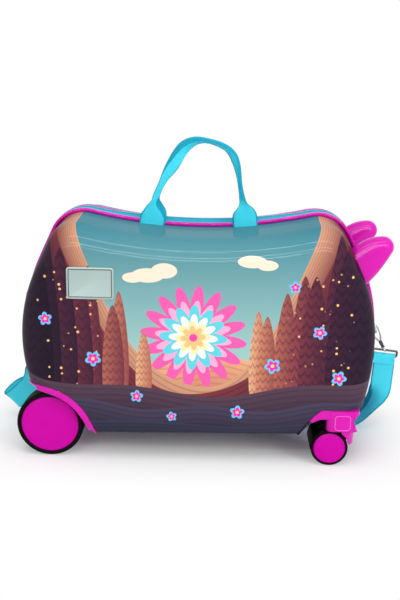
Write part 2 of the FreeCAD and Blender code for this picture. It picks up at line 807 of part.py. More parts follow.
def horn_rim(edge):
    """True for the edges of the horn's two flat sides, but for the root inside the hull."""
    middle = edge.valueAt((edge.FirstParameter + edge.LastParameter) / 2)
    at_root = horn_root.value(0.5 * (horn_root.FirstParameter + horn_root.LastParameter))
    is_root = math.dist((middle.x, middle.z), (at_root.x, at_root.y)) < 1e-3
    return any(lies_at_out(edge, face) for face in horn_faces) and not is_root


round_edges(horn_body, "horn_edge_round", horn_rim, "horn_round")
horn_seat = hull_form("horn_seat", "seat_gap / 4")
horn = keep(cut("near_horn", horn_body, horn_seat), "near_horn")


# Webbing: a flat band along a route of straight runs and tangent arcs

def rounded_route(points):
    """Straight runs with an arc at each corner, as (place, direction, share of the way) stations."""
    stations = [(points[0], (points[1] - points[0]).normalize(), 0.0)]
    radii = []
    for i in range(1, len(points) - 1):
        before = points[i] - points[i - 1]
        after = points[i + 1] - points[i]
        shorter = min(before.Length, after.Length)
        turn = before.getAngle(after)
        radius = 0.45 * shorter / math.tan(turn / 2)
        radii.append(radius)
        into = Vector(before).normalize()
        leave = Vector(after).normalize()
        axis = into.cross(leave).normalize()
        entry = points[i] - into * (0.45 * shorter)
        centre = entry + axis.cross(into) * radius
        steps = max(2, math.ceil(math.degrees(turn) / 14))
        for k in range(steps + 1):
            swing = Rotation(axis, math.degrees(turn) * k / steps)
            place = centre + swing.multVec(entry - centre)
            stations.append((place, swing.multVec(into), i - 0.3 + 0.6 * k / steps))
    last = len(points) - 1
    stations.append((points[-1], (points[-1] - points[-2]).normalize(), float(last)))
    return stations, radii


def between(values, share):
    """A value that runs smoothly from one route point's value to the next one's."""
    i = min(int(share), len(values) - 2)
    t = share - i
    return values[i] + (values[i + 1] - values[i]) * t * t * (3 - 2 * t)


def webbing(name, route, section, twists):
    """A solid band lofted along a route, with a section of (width, thickness) at each place.

    Twist 0 keeps the band's width in the side view, and 90 turns it across the case.
    """
    stations, radii = rounded_route(route)
    full = []
    for one, two in zip(stations, stations[1:]):
        full.append(one)
        steps = math.ceil(abs(between(twists, two[2]) - between(twists, one[2])) / 18)
        flare = abs(section(two[0])[0] - section(one[0])[0])
        steps = max(steps, math.ceil(flare / 4))
        for k in range(1, steps):
            t = k / steps
            mean = (one[1] * (1 - t) + two[1] * t).normalize()
            full.append((one[0] * (1 - t) + two[0] * t, mean, one[2] * (1 - t) + two[2] * t))
    full.append(stations[-1])
    wires = []
    for place, along, share in full:
        across = along.cross(Vector(0, 1, 0)).normalize()
        across = Rotation(along, between(twists, share)).multVec(across)
        normal = along.cross(across)
        width, thickness = section(place)
        w = across * (width / 2)
        t = normal * (thickness / 2)
        low_left, low_right = place - w - t, place + w - t
        high_right, high_left = place + w + t, place - w + t
        wires.append(Part.makePolygon([low_left, low_right, high_right, high_left, low_left]))
    solid = Part.makeLoft(wires, True, True)
    length = sum((b[0] - a[0]).Length for a, b in zip(full, full[1:]))
    print(f"{name}: length {length:.0f} mm, radii {[round(r) for r in radii]}")
    return solid_feature(name, solid), length


# Carry handle: sewn patches on the near rim, and the loop that folds over on them

PATCH_FROM = "rim_outer_out + seat_gap"
PATCH_TO = f"{PATCH_FROM} + webbing_thickness"
PATCH_HALF = "handle_patch_width / 2"
patches = []
for end in ("handle_rear_x", "handle_front_x"):
    leaf = box(f"leaf_{end}",
               (f"{end} - {PATCH_HALF}", f"0 - ( {PATCH_TO} )", "handle_patch_bottom"),
               (f"{end} + {PATCH_HALF}", f"0 - ( {PATCH_FROM} )", "handle_fold_height - 0.8"))
    patches.append(cut(f"patch_{end}", leaf, horn_seat))
patch_pair = doc.addObject("Part::Compound", "handle_patches")
patch_pair.Links = patches
doc.recompute()
keep(patch_pair, "handle_patches")


def handle_route():
    """Centre line of the handle: up from one patch, over, and down to the other."""
    out = number(f"{PATCH_FROM} + webbing_thickness / 2")
    base = size("handle_fold_height")
    rise = size("handle_rise")
    rear = size("handle_rear_x")
    front = size("handle_front_x")
    span = front - rear
    share = [(0.0, 0.0), (0.0, 0.11), (0.035, 0.22), (0.115, 0.43), (0.25, 0.74), (0.47, 0.985),
             (0.72, 0.94), (0.865, 0.74), (0.92, 0.45), (0.962, 0.22), (1.0, 0.11), (1.0, 0.0)]
    return [Vector(rear + span * u, -out, base + rise * v) for u, v in share]


def handle_section(place):
    """The band is wide and single at its feet, draws in to a neck and is folded double above."""
    neck = size("handle_neck")
    cloth = size("webbing_thickness")
    rise = (place.z - size("handle_fold_height")) / size("handle_foot_height")
    if rise < 1:
        draw_in = math.sqrt(1 - max(rise, 0) ** 2)
        thinned = cloth * (0.4 + 4 * max(rise, 0))
        return neck + (size("handle_patch_width") - neck) * draw_in, min(cloth * (2 - draw_in), thinned)
    full = min(1, (rise - 1) / 2)
    return neck + (size("handle_grip") - neck) * full, 2 * cloth


handle_twist = [0, 0, 0, 10, 25, 75, 65, 50, 75, 10, 0, 0]
handle, handle_length = webbing("carry_handle", handle_route(), handle_section, handle_twist)
keep(handle, "carry_handle")


# Zip sliders and pulls on the rear run of the zip

TEETH_TOP = "side_radius + tape_low + tape_thickness + tooth_height"
REAR_CENTRE = "side_radius - hull_half_length"


def zip_slider(label, turn):
    """A slider that bridges both rows of teeth, turned about the centre of the rear run."""
    base = f"{TEETH_TOP} + seat_gap + 0.1"
    top = f"{base} + slider_plate"
    plate = box(f"{label}_plate",
                (f"0 - ( {top} )", "0 - slider_width / 2", "0 - slider_length / 2"),
                (f"0 - ( {base} )", "slider_width / 2", "slider_length / 2"))
    loop = box(f"{label}_loop",
               (f"0 - ( {top} + 3.2 )", "0 - 1.5", "0 - slider_length / 2 + 1"),
               (f"0 - ( {top} )", "1.5", "slider_length / 2 - 1"))
    loop_eye = box(f"{label}_eye", (f"0 - ( {top} + 2.2 )", "0 - 2", "0 - 3"), (f"0 - ( {top} )", "2", "3"))
    piece = cut(label, fuse(f"{label}_whole", plate, loop), loop_eye)
    pull = pull_tab(f"{label}_pull", top)
    for obj in (piece, pull):
        spin = Rotation(Vector(0, 1, 0), turn)
        centre = Vector(number(REAR_CENTRE), 0, size("side_height"))
        obj.Placement = Placement(centre, spin)
        obj.setExpression("Placement.Base.x", cells(REAR_CENTRE))
        obj.setExpression("Placement.Base.z", cells("side_height"))
        doc.recompute()
        keep(obj, obj.Name)


def pull_tab(label, seat):
    """The pull: a plate that hangs from the slider's loop by a slot near its top."""
    low = f"0 - ( {seat} + pull_thickness + 0.3 )"
    high = f"0 - ( {seat} + 0.3 )"
    leaf = box(f"{label}_plate",
               (low, "0 - pull_width / 2", "2.6 - pull_length"),
               (high, "pull_width / 2", "2.6"))
    slot = box(f"{label}_slot", (f"{low} - 1", "0 - 1.9", "0 - 5.6"), (f"{high} + 1", "1.9", "1.2"))
    return cut(label, leaf, slot)


zip_slider("upper_zip_slider", size("slider_turn"))
zip_slider("lower_zip_slider", 0)


# Tow rings on webbing tabs at both ends of the far half, drawn on the near side and mirrored

RING_HALF = "( tow_ring_width / 2 )"
BAR = "( ring_wire / 2 )"


def end_reach(height):
    """How far the shell's end stands from the middle at a height."""
    drop = size(height) - size("side_height")
    return math.sqrt(size("side_radius") ** 2 - drop**2) + size("hull_half_length") - size("side_radius")


def tow_ring(end, label, height):
    """A sewn tab on one end of the shell and the rectangular ring that hangs in its fold."""
    reach = end_reach(height)
    bar_x = reach + size("tab_stand")
    wire = size("ring_wire")
    lean = size("tow_ring_lean")
    tilt = math.radians(lean)
    width = size("tow_ring_width")
    drop = size("tow_ring_drop")
    tab_w = size("tab_width")
    tab_l = size("tab_length")
    out = size("tow_ring_out")
    low = Vector(reach - 12, -out - tab_w / 2, size(height) - wire)
    leaf = Part.makeBox(12 + 2.6, tab_w, tab_l, low)
    fold = Part.makeBox(size("tab_stand") + 12 + wire, tab_w, 2 * wire, low)
    half = wire / 2
    slot = half * (math.cos(tilt) + math.sin(tilt)) + size("seat_gap")
    slot_corner = Vector(bar_x - slot, low.y - 1, size(height) - slot)
    bar_slot = Part.makeBox(2 * slot, tab_w + 2, 2 * slot, slot_corner)
    tab = leaf.fuse(fold).cut(bar_slot).cut(horn_seat.Shape).removeSplitter()
    frame_corner = Vector(-half, -width / 2 - wire, -drop - half)
    frame = Part.makeBox(wire, width + 2 * wire, drop + wire, frame_corner)
    window = Part.makeBox(wire + 2, width, drop - wire, Vector(-half - 1, -width / 2, -drop + half))
    if end < 0:
        tab = tab.mirror(Vector(), Vector(1, 0, 0))
    hang = Placement(Vector(end * bar_x, -out, size(height)), Rotation(Vector(0, 1, 0), -end * lean))
    mirrored(solid_feature(f"{label}_tab_near", tab), f"{label}_tab")
    mirrored(solid_feature(f"{label}_ring_near", frame.cut(window), hang), f"{label}_ring")
    bar = Vector(bar_x + drop * math.sin(tilt), out, size(height) - drop * math.cos(tilt))
    return Vector(end * bar.x, bar.y, bar.z)


hook_bar = tow_ring(1, "front_tow", "front_ring_height")
rear_bar = tow_ring(-1, "rear_tow", "rear_ring_height")


# Snap hook with its gate, and the ring that carries the strap

HOOK_EYE = 3.4
HOOK_RIM = 7.0
ring_centre = Vector(size("strap_ring_x"), size("tow_ring_out"), size("strap_ring_height"))
hook_way = ring_centre - hook_bar
hook_length = hook_way.Length - size("strap_ring_wire")
hook_turn = Rotation(Vector(0, 0, -1), Vector(hook_way.x, 0, hook_way.z))
hook_place = Placement(hook_bar, hook_turn)
hook_t = size("hook_plate")
stem_w = size("hook_stem")
hook_rim = Part.makeCylinder(HOOK_RIM, hook_t, Vector(0, hook_t / 2, 0), Vector(0, -1, 0))
shank_corner = Vector(-stem_w / 2, -hook_t / 2, -hook_length + 1.5)
shank = Part.makeBox(stem_w, hook_t, hook_length - 4.5, shank_corner)
hook_hole = Part.makeCylinder(HOOK_EYE, hook_t + 2, Vector(0, hook_t / 2 + 1, 0), Vector(0, -1, 0))
GATE_LOW = -11.0
GATE_TOP = 1.5
mouth_x = HOOK_EYE - 0.8
mouth = Part.makeBox(HOOK_RIM, hook_t + 2, GATE_TOP - GATE_LOW, Vector(mouth_x, -hook_t / 2 - 1, GATE_LOW))
hook_shape = hook_rim.fuse(shank).cut(hook_hole).cut(mouth).removeSplitter()
gate_corner = Vector(HOOK_EYE + 0.8, -hook_t / 2 + 0.5, GATE_LOW + 0.3)
gate_shape = Part.makeBox(2.4, hook_t - 1, GATE_TOP - GATE_LOW - 0.6, gate_corner)
keep(solid_feature("snap_hook", hook_shape, hook_place), "snap_hook")
keep(solid_feature("snap_gate", gate_shape, hook_place), "snap_gate")
gate_pivot = hook_place.multVec(Vector(HOOK_EYE + 2, 0, GATE_LOW + 0.3))
print(f"gate pivot {gate_pivot.x:.2f}, {gate_pivot.y:.2f}, {gate_pivot.z:.2f}")

ring_wire = size("strap_ring_wire")
ring_drop = size("strap_ring_drop")
inside = size("strap_width") + 2
outer_corner = Vector(-inside / 2 - ring_wire, -ring_wire / 2, ring_wire / 2 - ring_drop)
window_corner = Vector(-inside / 2, -ring_wire / 2 - 1, ring_wire * 1.5 - ring_drop)
ring_outer = Part.makeBox(inside + 2 * ring_wire, ring_wire, ring_drop, outer_corner)
ring_window = Part.makeBox(inside, ring_wire + 2, ring_drop - 2 * ring_wire, window_corner)
ring_place = Placement(ring_centre, Rotation())
keep(solid_feature("strap_ring", ring_outer.cut(ring_window), ring_place), "strap_ring")


# Tow strap: down from the front ring, along the floor under the belly and up to the rear ring

strap_t = size("strap_thickness")
floor_z = strap_t / 2 + 0.3
strap_top = ring_centre - Vector(0, 0, ring_drop - ring_wire / 2 + 0.3)
rear_top = rear_bar - Vector(0, 0, size("ring_wire") / 2 + strap_t / 2 + 0.2)
front_fall = [strap_top, Vector(strap_top.x, strap_top.y, 84), Vector(255, 31, 58), Vector(244, 28, 36),
              Vector(220, 23, 14)]
floor_run = [Vector(190, 19, floor_z + 1)]
for x, y in ((145, 23), (95, 30), (45, 34), (-5, 31), (-55, 34), (-105, 31), (-155, 27)):
    floor_run.append(Vector(x, y, floor_z))
rear_rise = [Vector(-200, 24, floor_z + 1.5), Vector(-240, 26, 15), Vector(-268, 29, 35),
             Vector(-254, 32, 60), Vector(-244, 33, 82), rear_top]
strap_route = front_fall + floor_run + rear_rise
flat = 90
strap_twist = [0, 0, 0, 12, 50] + [flat] * len(floor_run) + [flat, 60, 40, 70, flat, flat]


def strap_section(place):
    """The strap is as wide and as thick all along."""
    return size("strap_width"), strap_t


strap, strap_length = webbing("tow_strap", strap_route, strap_section, strap_twist)
expected = strap_length * size("strap_width") * strap_t
print(f"tow_strap: volume {strap.Shape.Volume:.0f}, section by length {expected:.0f}")
print(f"tow_strap: lowest point {strap.Shape.BoundBox.ZMin:.2f}")
keep(strap, "tow_strap")


# Packing straps and buckles against the inside of the far half

PACK_TO = "hull_half_depth - hull_wall - seat_gap"
PACK_FROM = f"{PACK_TO} - packing_strap_thickness"
straps = []
buckles = []
for side in (-1, 1):
    middle = f"{side} * packing_strap_spread"
    half = "packing_strap_width / 2"
    strap_low = (f"{middle} - {half}", f"0 - ( {PACK_TO} )", "packing_height - packing_strap_length / 2")
    strap_high = (f"{middle} + {half}", f"0 - ( {PACK_FROM} )", "packing_height + packing_strap_length / 2")
    straps.append(box(f"pack_strap_{side + 1}", strap_low, strap_high))
    shell_box = box(f"pack_buckle_{side + 1}",
                    (f"{middle} - {half} - buckle_margin", f"0 - ( {PACK_FROM} ) + seat_gap",
                     "packing_height - buckle_height / 2"),
                    (f"{middle} + {half} + buckle_margin", f"0 - ( {PACK_FROM} ) + buckle_depth",
                     "packing_height + buckle_height / 2"))
    window = box(f"pack_window_{side + 1}",
                 (f"{middle} - {half} + buckle_slot_margin", f"0 - ( {PACK_FROM} ) - buckle_depth",
                  "packing_height + buckle_slot_low"),
                 (f"{middle} + {half} - buckle_slot_margin", f"0 - ( {PACK_FROM} ) + 2 * buckle_depth",
                  "packing_height + buckle_slot_high"))
    buckles.append(cut(f"pack_buckle_open_{side + 1}", shell_box, window))
for label, pieces in (("packing_straps", straps), ("packing_buckles", buckles)):
    group = doc.addObject("Part::Compound", f"{label}_near")
    group.Links = pieces
    doc.recompute()
    mirrored(group, label)


# The far half repeats the near one

FAR_COPIES = {
    "far_shell": shell,
    "far_rim": rim,
    "far_zip_tape": tape,
    "far_hinge_strip": hinge_strip,
    "far_horn": horn,
    "far_rear_housing": housing,
    "far_rear_axle": rear_axle,
    "far_front_bracket": bracket,
    "far_caster_socket": socket,
    "far_caster_fork": fork,
    "far_caster_stem": stem,
    "far_caster_crown": crown,
    "far_caster_axle": caster_axle,
}
for label, near_piece in FAR_COPIES.items():
    mirrored(near_piece, label)


# Check every object before anything is written

doc.recompute()
failed = [o.Name for o in doc.Objects if {"Invalid", "Error"} & set(o.State)]
if failed:
    raise RuntimeError(f"objects failed: {failed}")
for part in parts:
    if part.Shape.isNull() or not part.Shape.isValid():
        raise RuntimeError(f"{part.Label} has no valid shape")
for part in parts:
    part.Shape.exportStep(os.path.join("parts", f"{part.Label}.step"))
    print(f"{part.Label}: {len(part.Shape.Solids)} solids, {part.Shape.Volume / 1000:.2f} cm3")
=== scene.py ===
# %% [markdown]
# # A child's ride-on suitcase
# Two hard half shells close on each other with a zip, and a child can sit on top and roll along.
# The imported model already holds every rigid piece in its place, in metres. This lesson dresses it:
# it builds the printed shells, the webbing, the wheels and the small metal pieces, and finishes each.

# %% Load the frame
import math

import bmesh
import bpy
from mathutils import Matrix, Quaternion, Vector


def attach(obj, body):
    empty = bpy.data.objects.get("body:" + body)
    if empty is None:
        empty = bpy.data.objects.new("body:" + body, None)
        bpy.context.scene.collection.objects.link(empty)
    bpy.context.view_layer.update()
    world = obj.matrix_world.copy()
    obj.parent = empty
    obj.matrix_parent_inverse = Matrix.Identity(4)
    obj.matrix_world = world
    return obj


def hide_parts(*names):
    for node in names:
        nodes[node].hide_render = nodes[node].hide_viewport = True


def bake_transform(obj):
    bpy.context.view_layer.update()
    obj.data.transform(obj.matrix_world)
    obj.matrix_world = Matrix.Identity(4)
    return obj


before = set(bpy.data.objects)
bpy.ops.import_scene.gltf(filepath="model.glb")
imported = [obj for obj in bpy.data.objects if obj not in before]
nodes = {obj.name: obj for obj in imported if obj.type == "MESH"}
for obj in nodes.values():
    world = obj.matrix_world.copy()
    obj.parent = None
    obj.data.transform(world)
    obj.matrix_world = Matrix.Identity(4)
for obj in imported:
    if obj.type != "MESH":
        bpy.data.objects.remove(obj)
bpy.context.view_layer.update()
MM = 0.001

# %% [markdown]
# ## Camera
# The picture is taken a little above the case and almost square to its side. A camera could be
# aimed with a constraint, but here its matrix is written out, because the picture leans slightly
# and a constraint would set it upright.

# %% Stand the camera


def stand_camera(azimuth, elevation, distance, target, roll):
    """Aim a camera at a target; a positive roll turns the picture clockwise."""
    a, e, r = (math.radians(v) for v in (azimuth, elevation, roll))
    back = Vector((math.sin(a) * math.cos(e), -math.cos(a) * math.cos(e), math.sin(e)))
    level = Vector((0, 0, 1)).cross(back).normalized()
    upright = back.cross(level)
    right = level * math.cos(r) + upright * math.sin(r)
    up = upright * math.cos(r) - level * math.sin(r)
    place = Vector(target) + back * distance
    bpy.ops.object.camera_add()
    camera = bpy.context.object
    camera.matrix_world = Matrix((right, up, back)).transposed().to_4x4()
    camera.location = place
    return camera


camera = stand_camera(2.0, 14.5, 1.115, (0, 0, 0.1871), 0.8)
camera.data.lens = 50
camera.data.sensor_width = 36
bpy.context.scene.camera = camera
print("camera at", [round(v, 3) for v in camera.location])

# %% [markdown]
# ## Helpers for modelling
# Most pieces here are skins that run from ring to ring: a strap runs along its line, a wheel runs
# out along its axle, and a shell runs from its open edge to its side. By hand you would add a
# circle, shape it, and extrude it again and again. The helper does just that, and it marks each
# vertex with how far along and across the piece it lies, so that a weave can follow the surface.

# %% Extrude a circle from ring to ring


def alone(piece):
    """Select one object and make it the active one."""
    bpy.ops.object.select_all(action="DESELECT")
    piece.select_set(True)
    bpy.context.view_layer.objects.active = piece


def write_lengths(piece, name, values):
    """Keep one number for each vertex under a name that a material can read."""
    mark = piece.data.attributes.new(name, "FLOAT", "POINT")
    mark.data.foreach_set("value", values)


def skin(name, rings, closed=False, capped=True, along=None, across=None, turned=None):
    """Lay a circle on the first ring and extrude it through all the others."""
    count = len(rings[0])
    bpy.ops.object.select_all(action="DESELECT")
    bpy.ops.mesh.primitive_circle_add(vertices=count)
    piece = bpy.context.object
    piece.name = piece.data.name = name
    for label in ("place", "ring"):
        piece.data.attributes.new(label, "INT", "POINT")
    piece.data.attributes["place"].data.foreach_set("value", range(count))
    bpy.ops.object.mode_set(mode="EDIT")
    bpy.ops.mesh.select_all(action="SELECT")
    for k, ring in enumerate(list(rings) + ([rings[0]] if closed else [])):
        if k:
            bpy.ops.mesh.extrude_edges_move()
        mesh = bmesh.from_edit_mesh(piece.data)
        mesh.verts.ensure_lookup_table()
        place = mesh.verts.layers.int["place"]
        number = mesh.verts.layers.int["ring"]
        for vertex in mesh.verts[-count:]:
            vertex.co = ring[vertex[place]]
            vertex[number] = k % len(rings)
    if capped and not closed:
        bpy.ops.mesh.edge_face_add()
        bpy.ops.mesh.select_all(action="DESELECT")
        mesh = bmesh.from_edit_mesh(piece.data)
        mesh.verts.ensure_lookup_table()
        for vertex in mesh.verts[:count]:
            vertex.select = True
        mesh.select_flush(True)
        bpy.ops.mesh.edge_face_add()
    bpy.ops.mesh.select_all(action="SELECT")
    bpy.ops.mesh.remove_doubles(threshold=1e-7)
    bpy.ops.mesh.normals_make_consistent(inside=False)
    bpy.ops.object.mode_set(mode="OBJECT")
    vertices = range(len(piece.data.vertices))
    if along:
        numbers = piece.data.attributes["ring"].data
        write_lengths(piece, "along", [along[numbers[i].value] for i in vertices])
    for label, values in (("across", across), ("turned", turned)):
        if values:
            places = piece.data.attributes["place"].data
            write_lengths(piece, label, [values[places[i].value] for i in vertices])
    for label in ("place", "ring"):
        piece.data.attributes.remove(piece.data.attributes[label])
    return piece


def smooth(piece, angle=35.0):
    """Shade a piece smoothly, but for edges sharper than an angle."""
    alone(piece)
    bpy.ops.object.shade_smooth_by_angle(angle=math.radians(angle))


def apply_modifier(piece, kind, **settings):
    """Add a modifier, set it and apply it."""
    alone(piece)
    step = piece.modifiers.new(kind.lower(), kind)
    for key, value in settings.items():
        setattr(step, key, value)
    bpy.ops.object.modifier_apply(modifier=step.name)


def take_away(piece, *tools):
    """Cut closed tool shapes out of a piece, and throw the tools away."""
    for tool in tools:
        apply_modifier(piece, "BOOLEAN", operation="DIFFERENCE", object=tool, solver="EXACT")
        bpy.data.objects.remove(tool)


def round_corners(points, radius, steps=3):
    """Ease the corners of a closed flat outline, each with a short arc."""
    eased = []
    for i, corner in enumerate(points):
        corner = Vector(corner)
        before = Vector(points[i - 1]) - corner
        after = Vector(points[(i + 1) % len(points)]) - corner
        reach = min(radius, 0.45 * before.length, 0.45 * after.length)
        start = corner + before.normalized() * reach
        end = corner + after.normalized() * reach
        for k in range(steps + 1):
            t = k / steps
            eased.append(start * (1 - t) ** 2 + corner * 2 * t * (1 - t) + end * t**2)
    return eased


def far_copy(piece, name):
    """The far half's copy of a near piece: the same mesh, mirrored across the middle plane."""
    twin = piece.copy()
    twin.data = piece.data.copy()
    twin.name = twin.data.name = name
    bpy.context.collection.objects.link(twin)
    twin.data.transform(Matrix.Scale(-1, 4, (0, 1, 0)))
    twin.data.flip_normals()
    return twin


def dress(piece, body, slot, *materials, stands_for=()):
    """Give a piece its finish, its body and the nodes that it stands for."""
    slots = piece.data.materials
    for k, material in enumerate(materials):
        if k < len(slots):
            slots[k] = material
        else:
            slots.append(material)
    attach(piece, body)
    if stands_for:
        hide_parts(*stands_for)
    return piece


print("helpers ready")

# %% [markdown]
# ## Helpers for finishes
# A finish is a small tree of nodes. Effects that several finishes share, such as the weave of tape
# or the fine grain of moulded plastic, are node groups with named inputs and outputs.

# %% Nodes, groups and colours


def screen(r, g, b):
    """A screen colour from 0 to 255 as the linear colour that a shader reads."""
    def linear(c):
        c = c / 255
        return c / 12.92 if c <= 0.04045 else ((c + 0.055) / 1.055) ** 2.4
    return (linear(r), linear(g), linear(b), 1.0)


def put(tree, kind, inputs=None, **settings):
    """Add a node, set it, and link or fill its inputs."""
    made = tree.nodes.new("ShaderNode" + kind)
    for key, value in settings.items():
        setattr(made, key, value)
    for key, value in (inputs or {}).items():
        if isinstance(value, bpy.types.NodeSocket):
            tree.links.new(value, made.inputs[key])
        else:
            made.inputs[key].default_value = value
    return made


def sums(tree, operation, a, b=0.0, c=0.0, clamp=False):
    """One step of arithmetic, as a socket."""
    made = put(tree, "Math", {0: a, 1: b, 2: c}, operation=operation, use_clamp=clamp)
    return made.outputs[0]


def blend_colours(tree, share, one, two, kind="MIX"):
    """Mix two colours by a share, as a socket."""
    made = tree.nodes.new("ShaderNodeMix")
    made.data_type = "RGBA"
    made.blend_type = kind
    for index, value in ((0, share), (6, one), (7, two)):
        if isinstance(value, bpy.types.NodeSocket):
            tree.links.new(value, made.inputs[index])
        else:
            made.inputs[index].default_value = value
    return made.outputs[2]


SOCKETS = {"value": "NodeSocketFloat", "colour": "NodeSocketColor", "vector": "NodeSocketVector"}


def new_group(name, inputs, outputs):
    """An empty shader group with named sockets, each given as (name, kind)."""
    tree = bpy.data.node_groups.new(name, "ShaderNodeTree")
    for label, kind in inputs:
        tree.interface.new_socket(label, in_out="INPUT", socket_type=SOCKETS[kind])
    for label, kind in outputs:
        tree.interface.new_socket(label, in_out="OUTPUT", socket_type=SOCKETS[kind])
    return tree, tree.nodes.new("NodeGroupInput").outputs, tree.nodes.new("NodeGroupOutput").inputs


def use_group(tree, group, inputs):
    """Place a group in a tree and fill its inputs."""
    made = tree.nodes.new("ShaderNodeGroup")
    made.node_tree = group
    for key, value in inputs.items():
        if isinstance(value, bpy.types.NodeSocket):
            tree.links.new(value, made.inputs[key])
        else:
            made.inputs[key].default_value = value
    return made.outputs


def new_finish(name, **plain):
    """A material with its principled shader, whose plain values are set on the shader itself."""
    material = bpy.data.materials.new(name)
    material.use_nodes = True
    tree = material.node_tree
    shader = tree.nodes["Principled BSDF"]
    for key, value in plain.items():
        shader.inputs[key.replace("_", " ").title().replace("Ior", "IOR")].default_value = value
    return material, tree, shader


def feed(tree, shader, colour=None, roughness=None, height=None, depth=0.0002, strength=0.4):
    """Link a colour, a roughness and a bump height to a shader."""
    if colour is not None:
        tree.links.new(colour, shader.inputs["Base Color"])
    if roughness is not None:
        tree.links.new(roughness, shader.inputs["Roughness"])
    if height is not None:
        bump = put(tree, "Bump", {"Strength": strength, "Distance": depth, "Height": height})
        tree.links.new(bump.outputs["Normal"], shader.inputs["Normal"])


print("finish helpers ready")

# %% [markdown]
# ## Shared effects
# *Grain* gives moulded plastic and rubber a fine pebble and a slow change of gloss. *Weave* draws
# the ribs of woven tape from the lengths marked on each strap.

# %% Grain and weave groups


def make_grain():
    tree, given, out = new_group(
        "moulded_grain",
        [("Vector", "vector"), ("Pebble", "value"), ("Gloss", "value"), ("Spread", "value")],
        [("Height", "value"), ("Roughness", "value"), ("Tone", "value")],
    )
    fine = put(tree, "TexNoise", {"Vector": given["Vector"], "Scale": given["Pebble"], "Detail": 2.0})
    slow = put(tree, "TexNoise", {"Vector": given["Vector"], "Scale": 22.0, "Detail": 3.0})
    centred = sums(tree, "SUBTRACT", slow.outputs[0], 0.5)
    tree.links.new(fine.outputs[0], out["Height"])
    tree.links.new(sums(tree, "MULTIPLY_ADD", centred, given["Spread"], given["Gloss"]), out["Roughness"])
    tree.links.new(slow.outputs[0], out["Tone"])
    return tree


def make_weave():
    """Ribs across the tape, split into chevron columns, with firmer edges."""
    tree, given, out = new_group(
        "tape_weave",
        [("Along", "value"), ("Across", "value"), ("Pitch", "value"), ("Half width", "value")],
        [("Height", "value"), ("Shade", "value")],
    )
    column = sums(tree, "PINGPONG", given["Across"], 0.0021)
    slanted = sums(tree, "ADD", given["Along"], column)
    turns = sums(tree, "DIVIDE", slanted, given["Pitch"])
    rib = sums(tree, "SINE", sums(tree, "MULTIPLY", turns, 2 * math.pi))
    edge = sums(tree, "DIVIDE", sums(tree, "ABSOLUTE", given["Across"]), given["Half width"])
    selvedge = sums(tree, "SMOOTH_MIN", sums(tree, "MULTIPLY", sums(tree, "SUBTRACT", edge, 0.84), 8.0, clamp=True),
                    1.0, 0.05)
    height = sums(tree, "MULTIPLY_ADD", rib, 0.5, 0.5)
    tree.links.new(sums(tree, "MULTIPLY_ADD", selvedge, 0.5, height), out["Height"])
    tree.links.new(sums(tree, "MULTIPLY_ADD", height, 0.5, 0.5), out["Shade"])
    return tree


grain = make_grain()
weave = make_weave()
print("groups:", grain.name, weave.name)

# %% [markdown]
# ## Plastic, rubber and metal finishes
# The trim is glossy pink plastic, the tyres are soft black rubber and the small hardware is bright
# plated metal. Each takes its roughness and bump from the grain group, with its own values.

# %% Solid finishes


def moulded(name, colour, shade, gloss, spread, pebble, depth, **plain):
    """Plastic or rubber: two near colours in slow patches, a changing gloss and a fine pebble."""
    material, tree, shader = new_finish(name, **plain)
    where = put(tree, "TexCoord").outputs["Object"]
    effect = use_group(tree, grain, {"Vector": where, "Pebble": pebble, "Gloss": gloss, "Spread": spread})
    tone = blend_colours(tree, effect["Tone"], shade, colour)
    feed(tree, shader, tone, effect["Roughness"], effect["Height"], depth, 0.35)
    return material


pink_gloss = moulded("pink_gloss_plastic", screen(214, 8, 174), screen(198, 4, 156), 0.26, 0.10, 700.0, 0.00003,
                     specular_ior_level=0.1, coat_weight=0.3, coat_roughness=0.10)
pink_satin = moulded("pink_satin_plastic", screen(206, 4, 168), screen(192, 2, 152), 0.42, 0.10, 900.0, 0.00005,
                     specular_ior_level=0.06)
# A lighter pink painted on as a highlight: it goes on the brackets' bevel faces and the block beads, where edges catch
# the light.
pink_painted_highlight = moulded("pink_painted_edge_highlight", screen(246, 104, 212), screen(238, 80, 200), 0.22, 0.10, 700.0, 0.00003,
                    specular_ior_level=0.1, coat_weight=0.3, coat_roughness=0.10)
rubber = moulded("black_tyre_rubber", screen(11, 9, 10), screen(6, 5, 6), 0.60, 0.16, 1400.0, 0.00008,
                 specular_ior_level=0.06)
nylon = moulded("black_nylon", screen(14, 12, 14), screen(8, 7, 8), 0.42, 0.14, 1100.0, 0.00006,
                specular_ior_level=0.08)
bright_metal = moulded("plated_metal", screen(206, 206, 210), screen(182, 182, 188), 0.20, 0.12, 300.0, 0.00002,
                       metallic=1.0)
steel = moulded("turned_steel", screen(168, 170, 174), screen(146, 148, 152), 0.32, 0.14, 500.0, 0.00002,
                metallic=1.0)
dark_metal = moulded("dark_plated_metal", screen(96, 94, 98), screen(70, 68, 72), 0.30, 0.14, 400.0, 0.00002,
                     metallic=1.0)
print("solid finishes made")

# %% [markdown]
# ## Woven finishes
# The handle, tow strap and zip tape are turquoise polyester tape, and the packing straps are black
# tape. The lining inside is thin plain cloth, so its weave follows the object's own coordinates.

# %% Tape and lining finishes


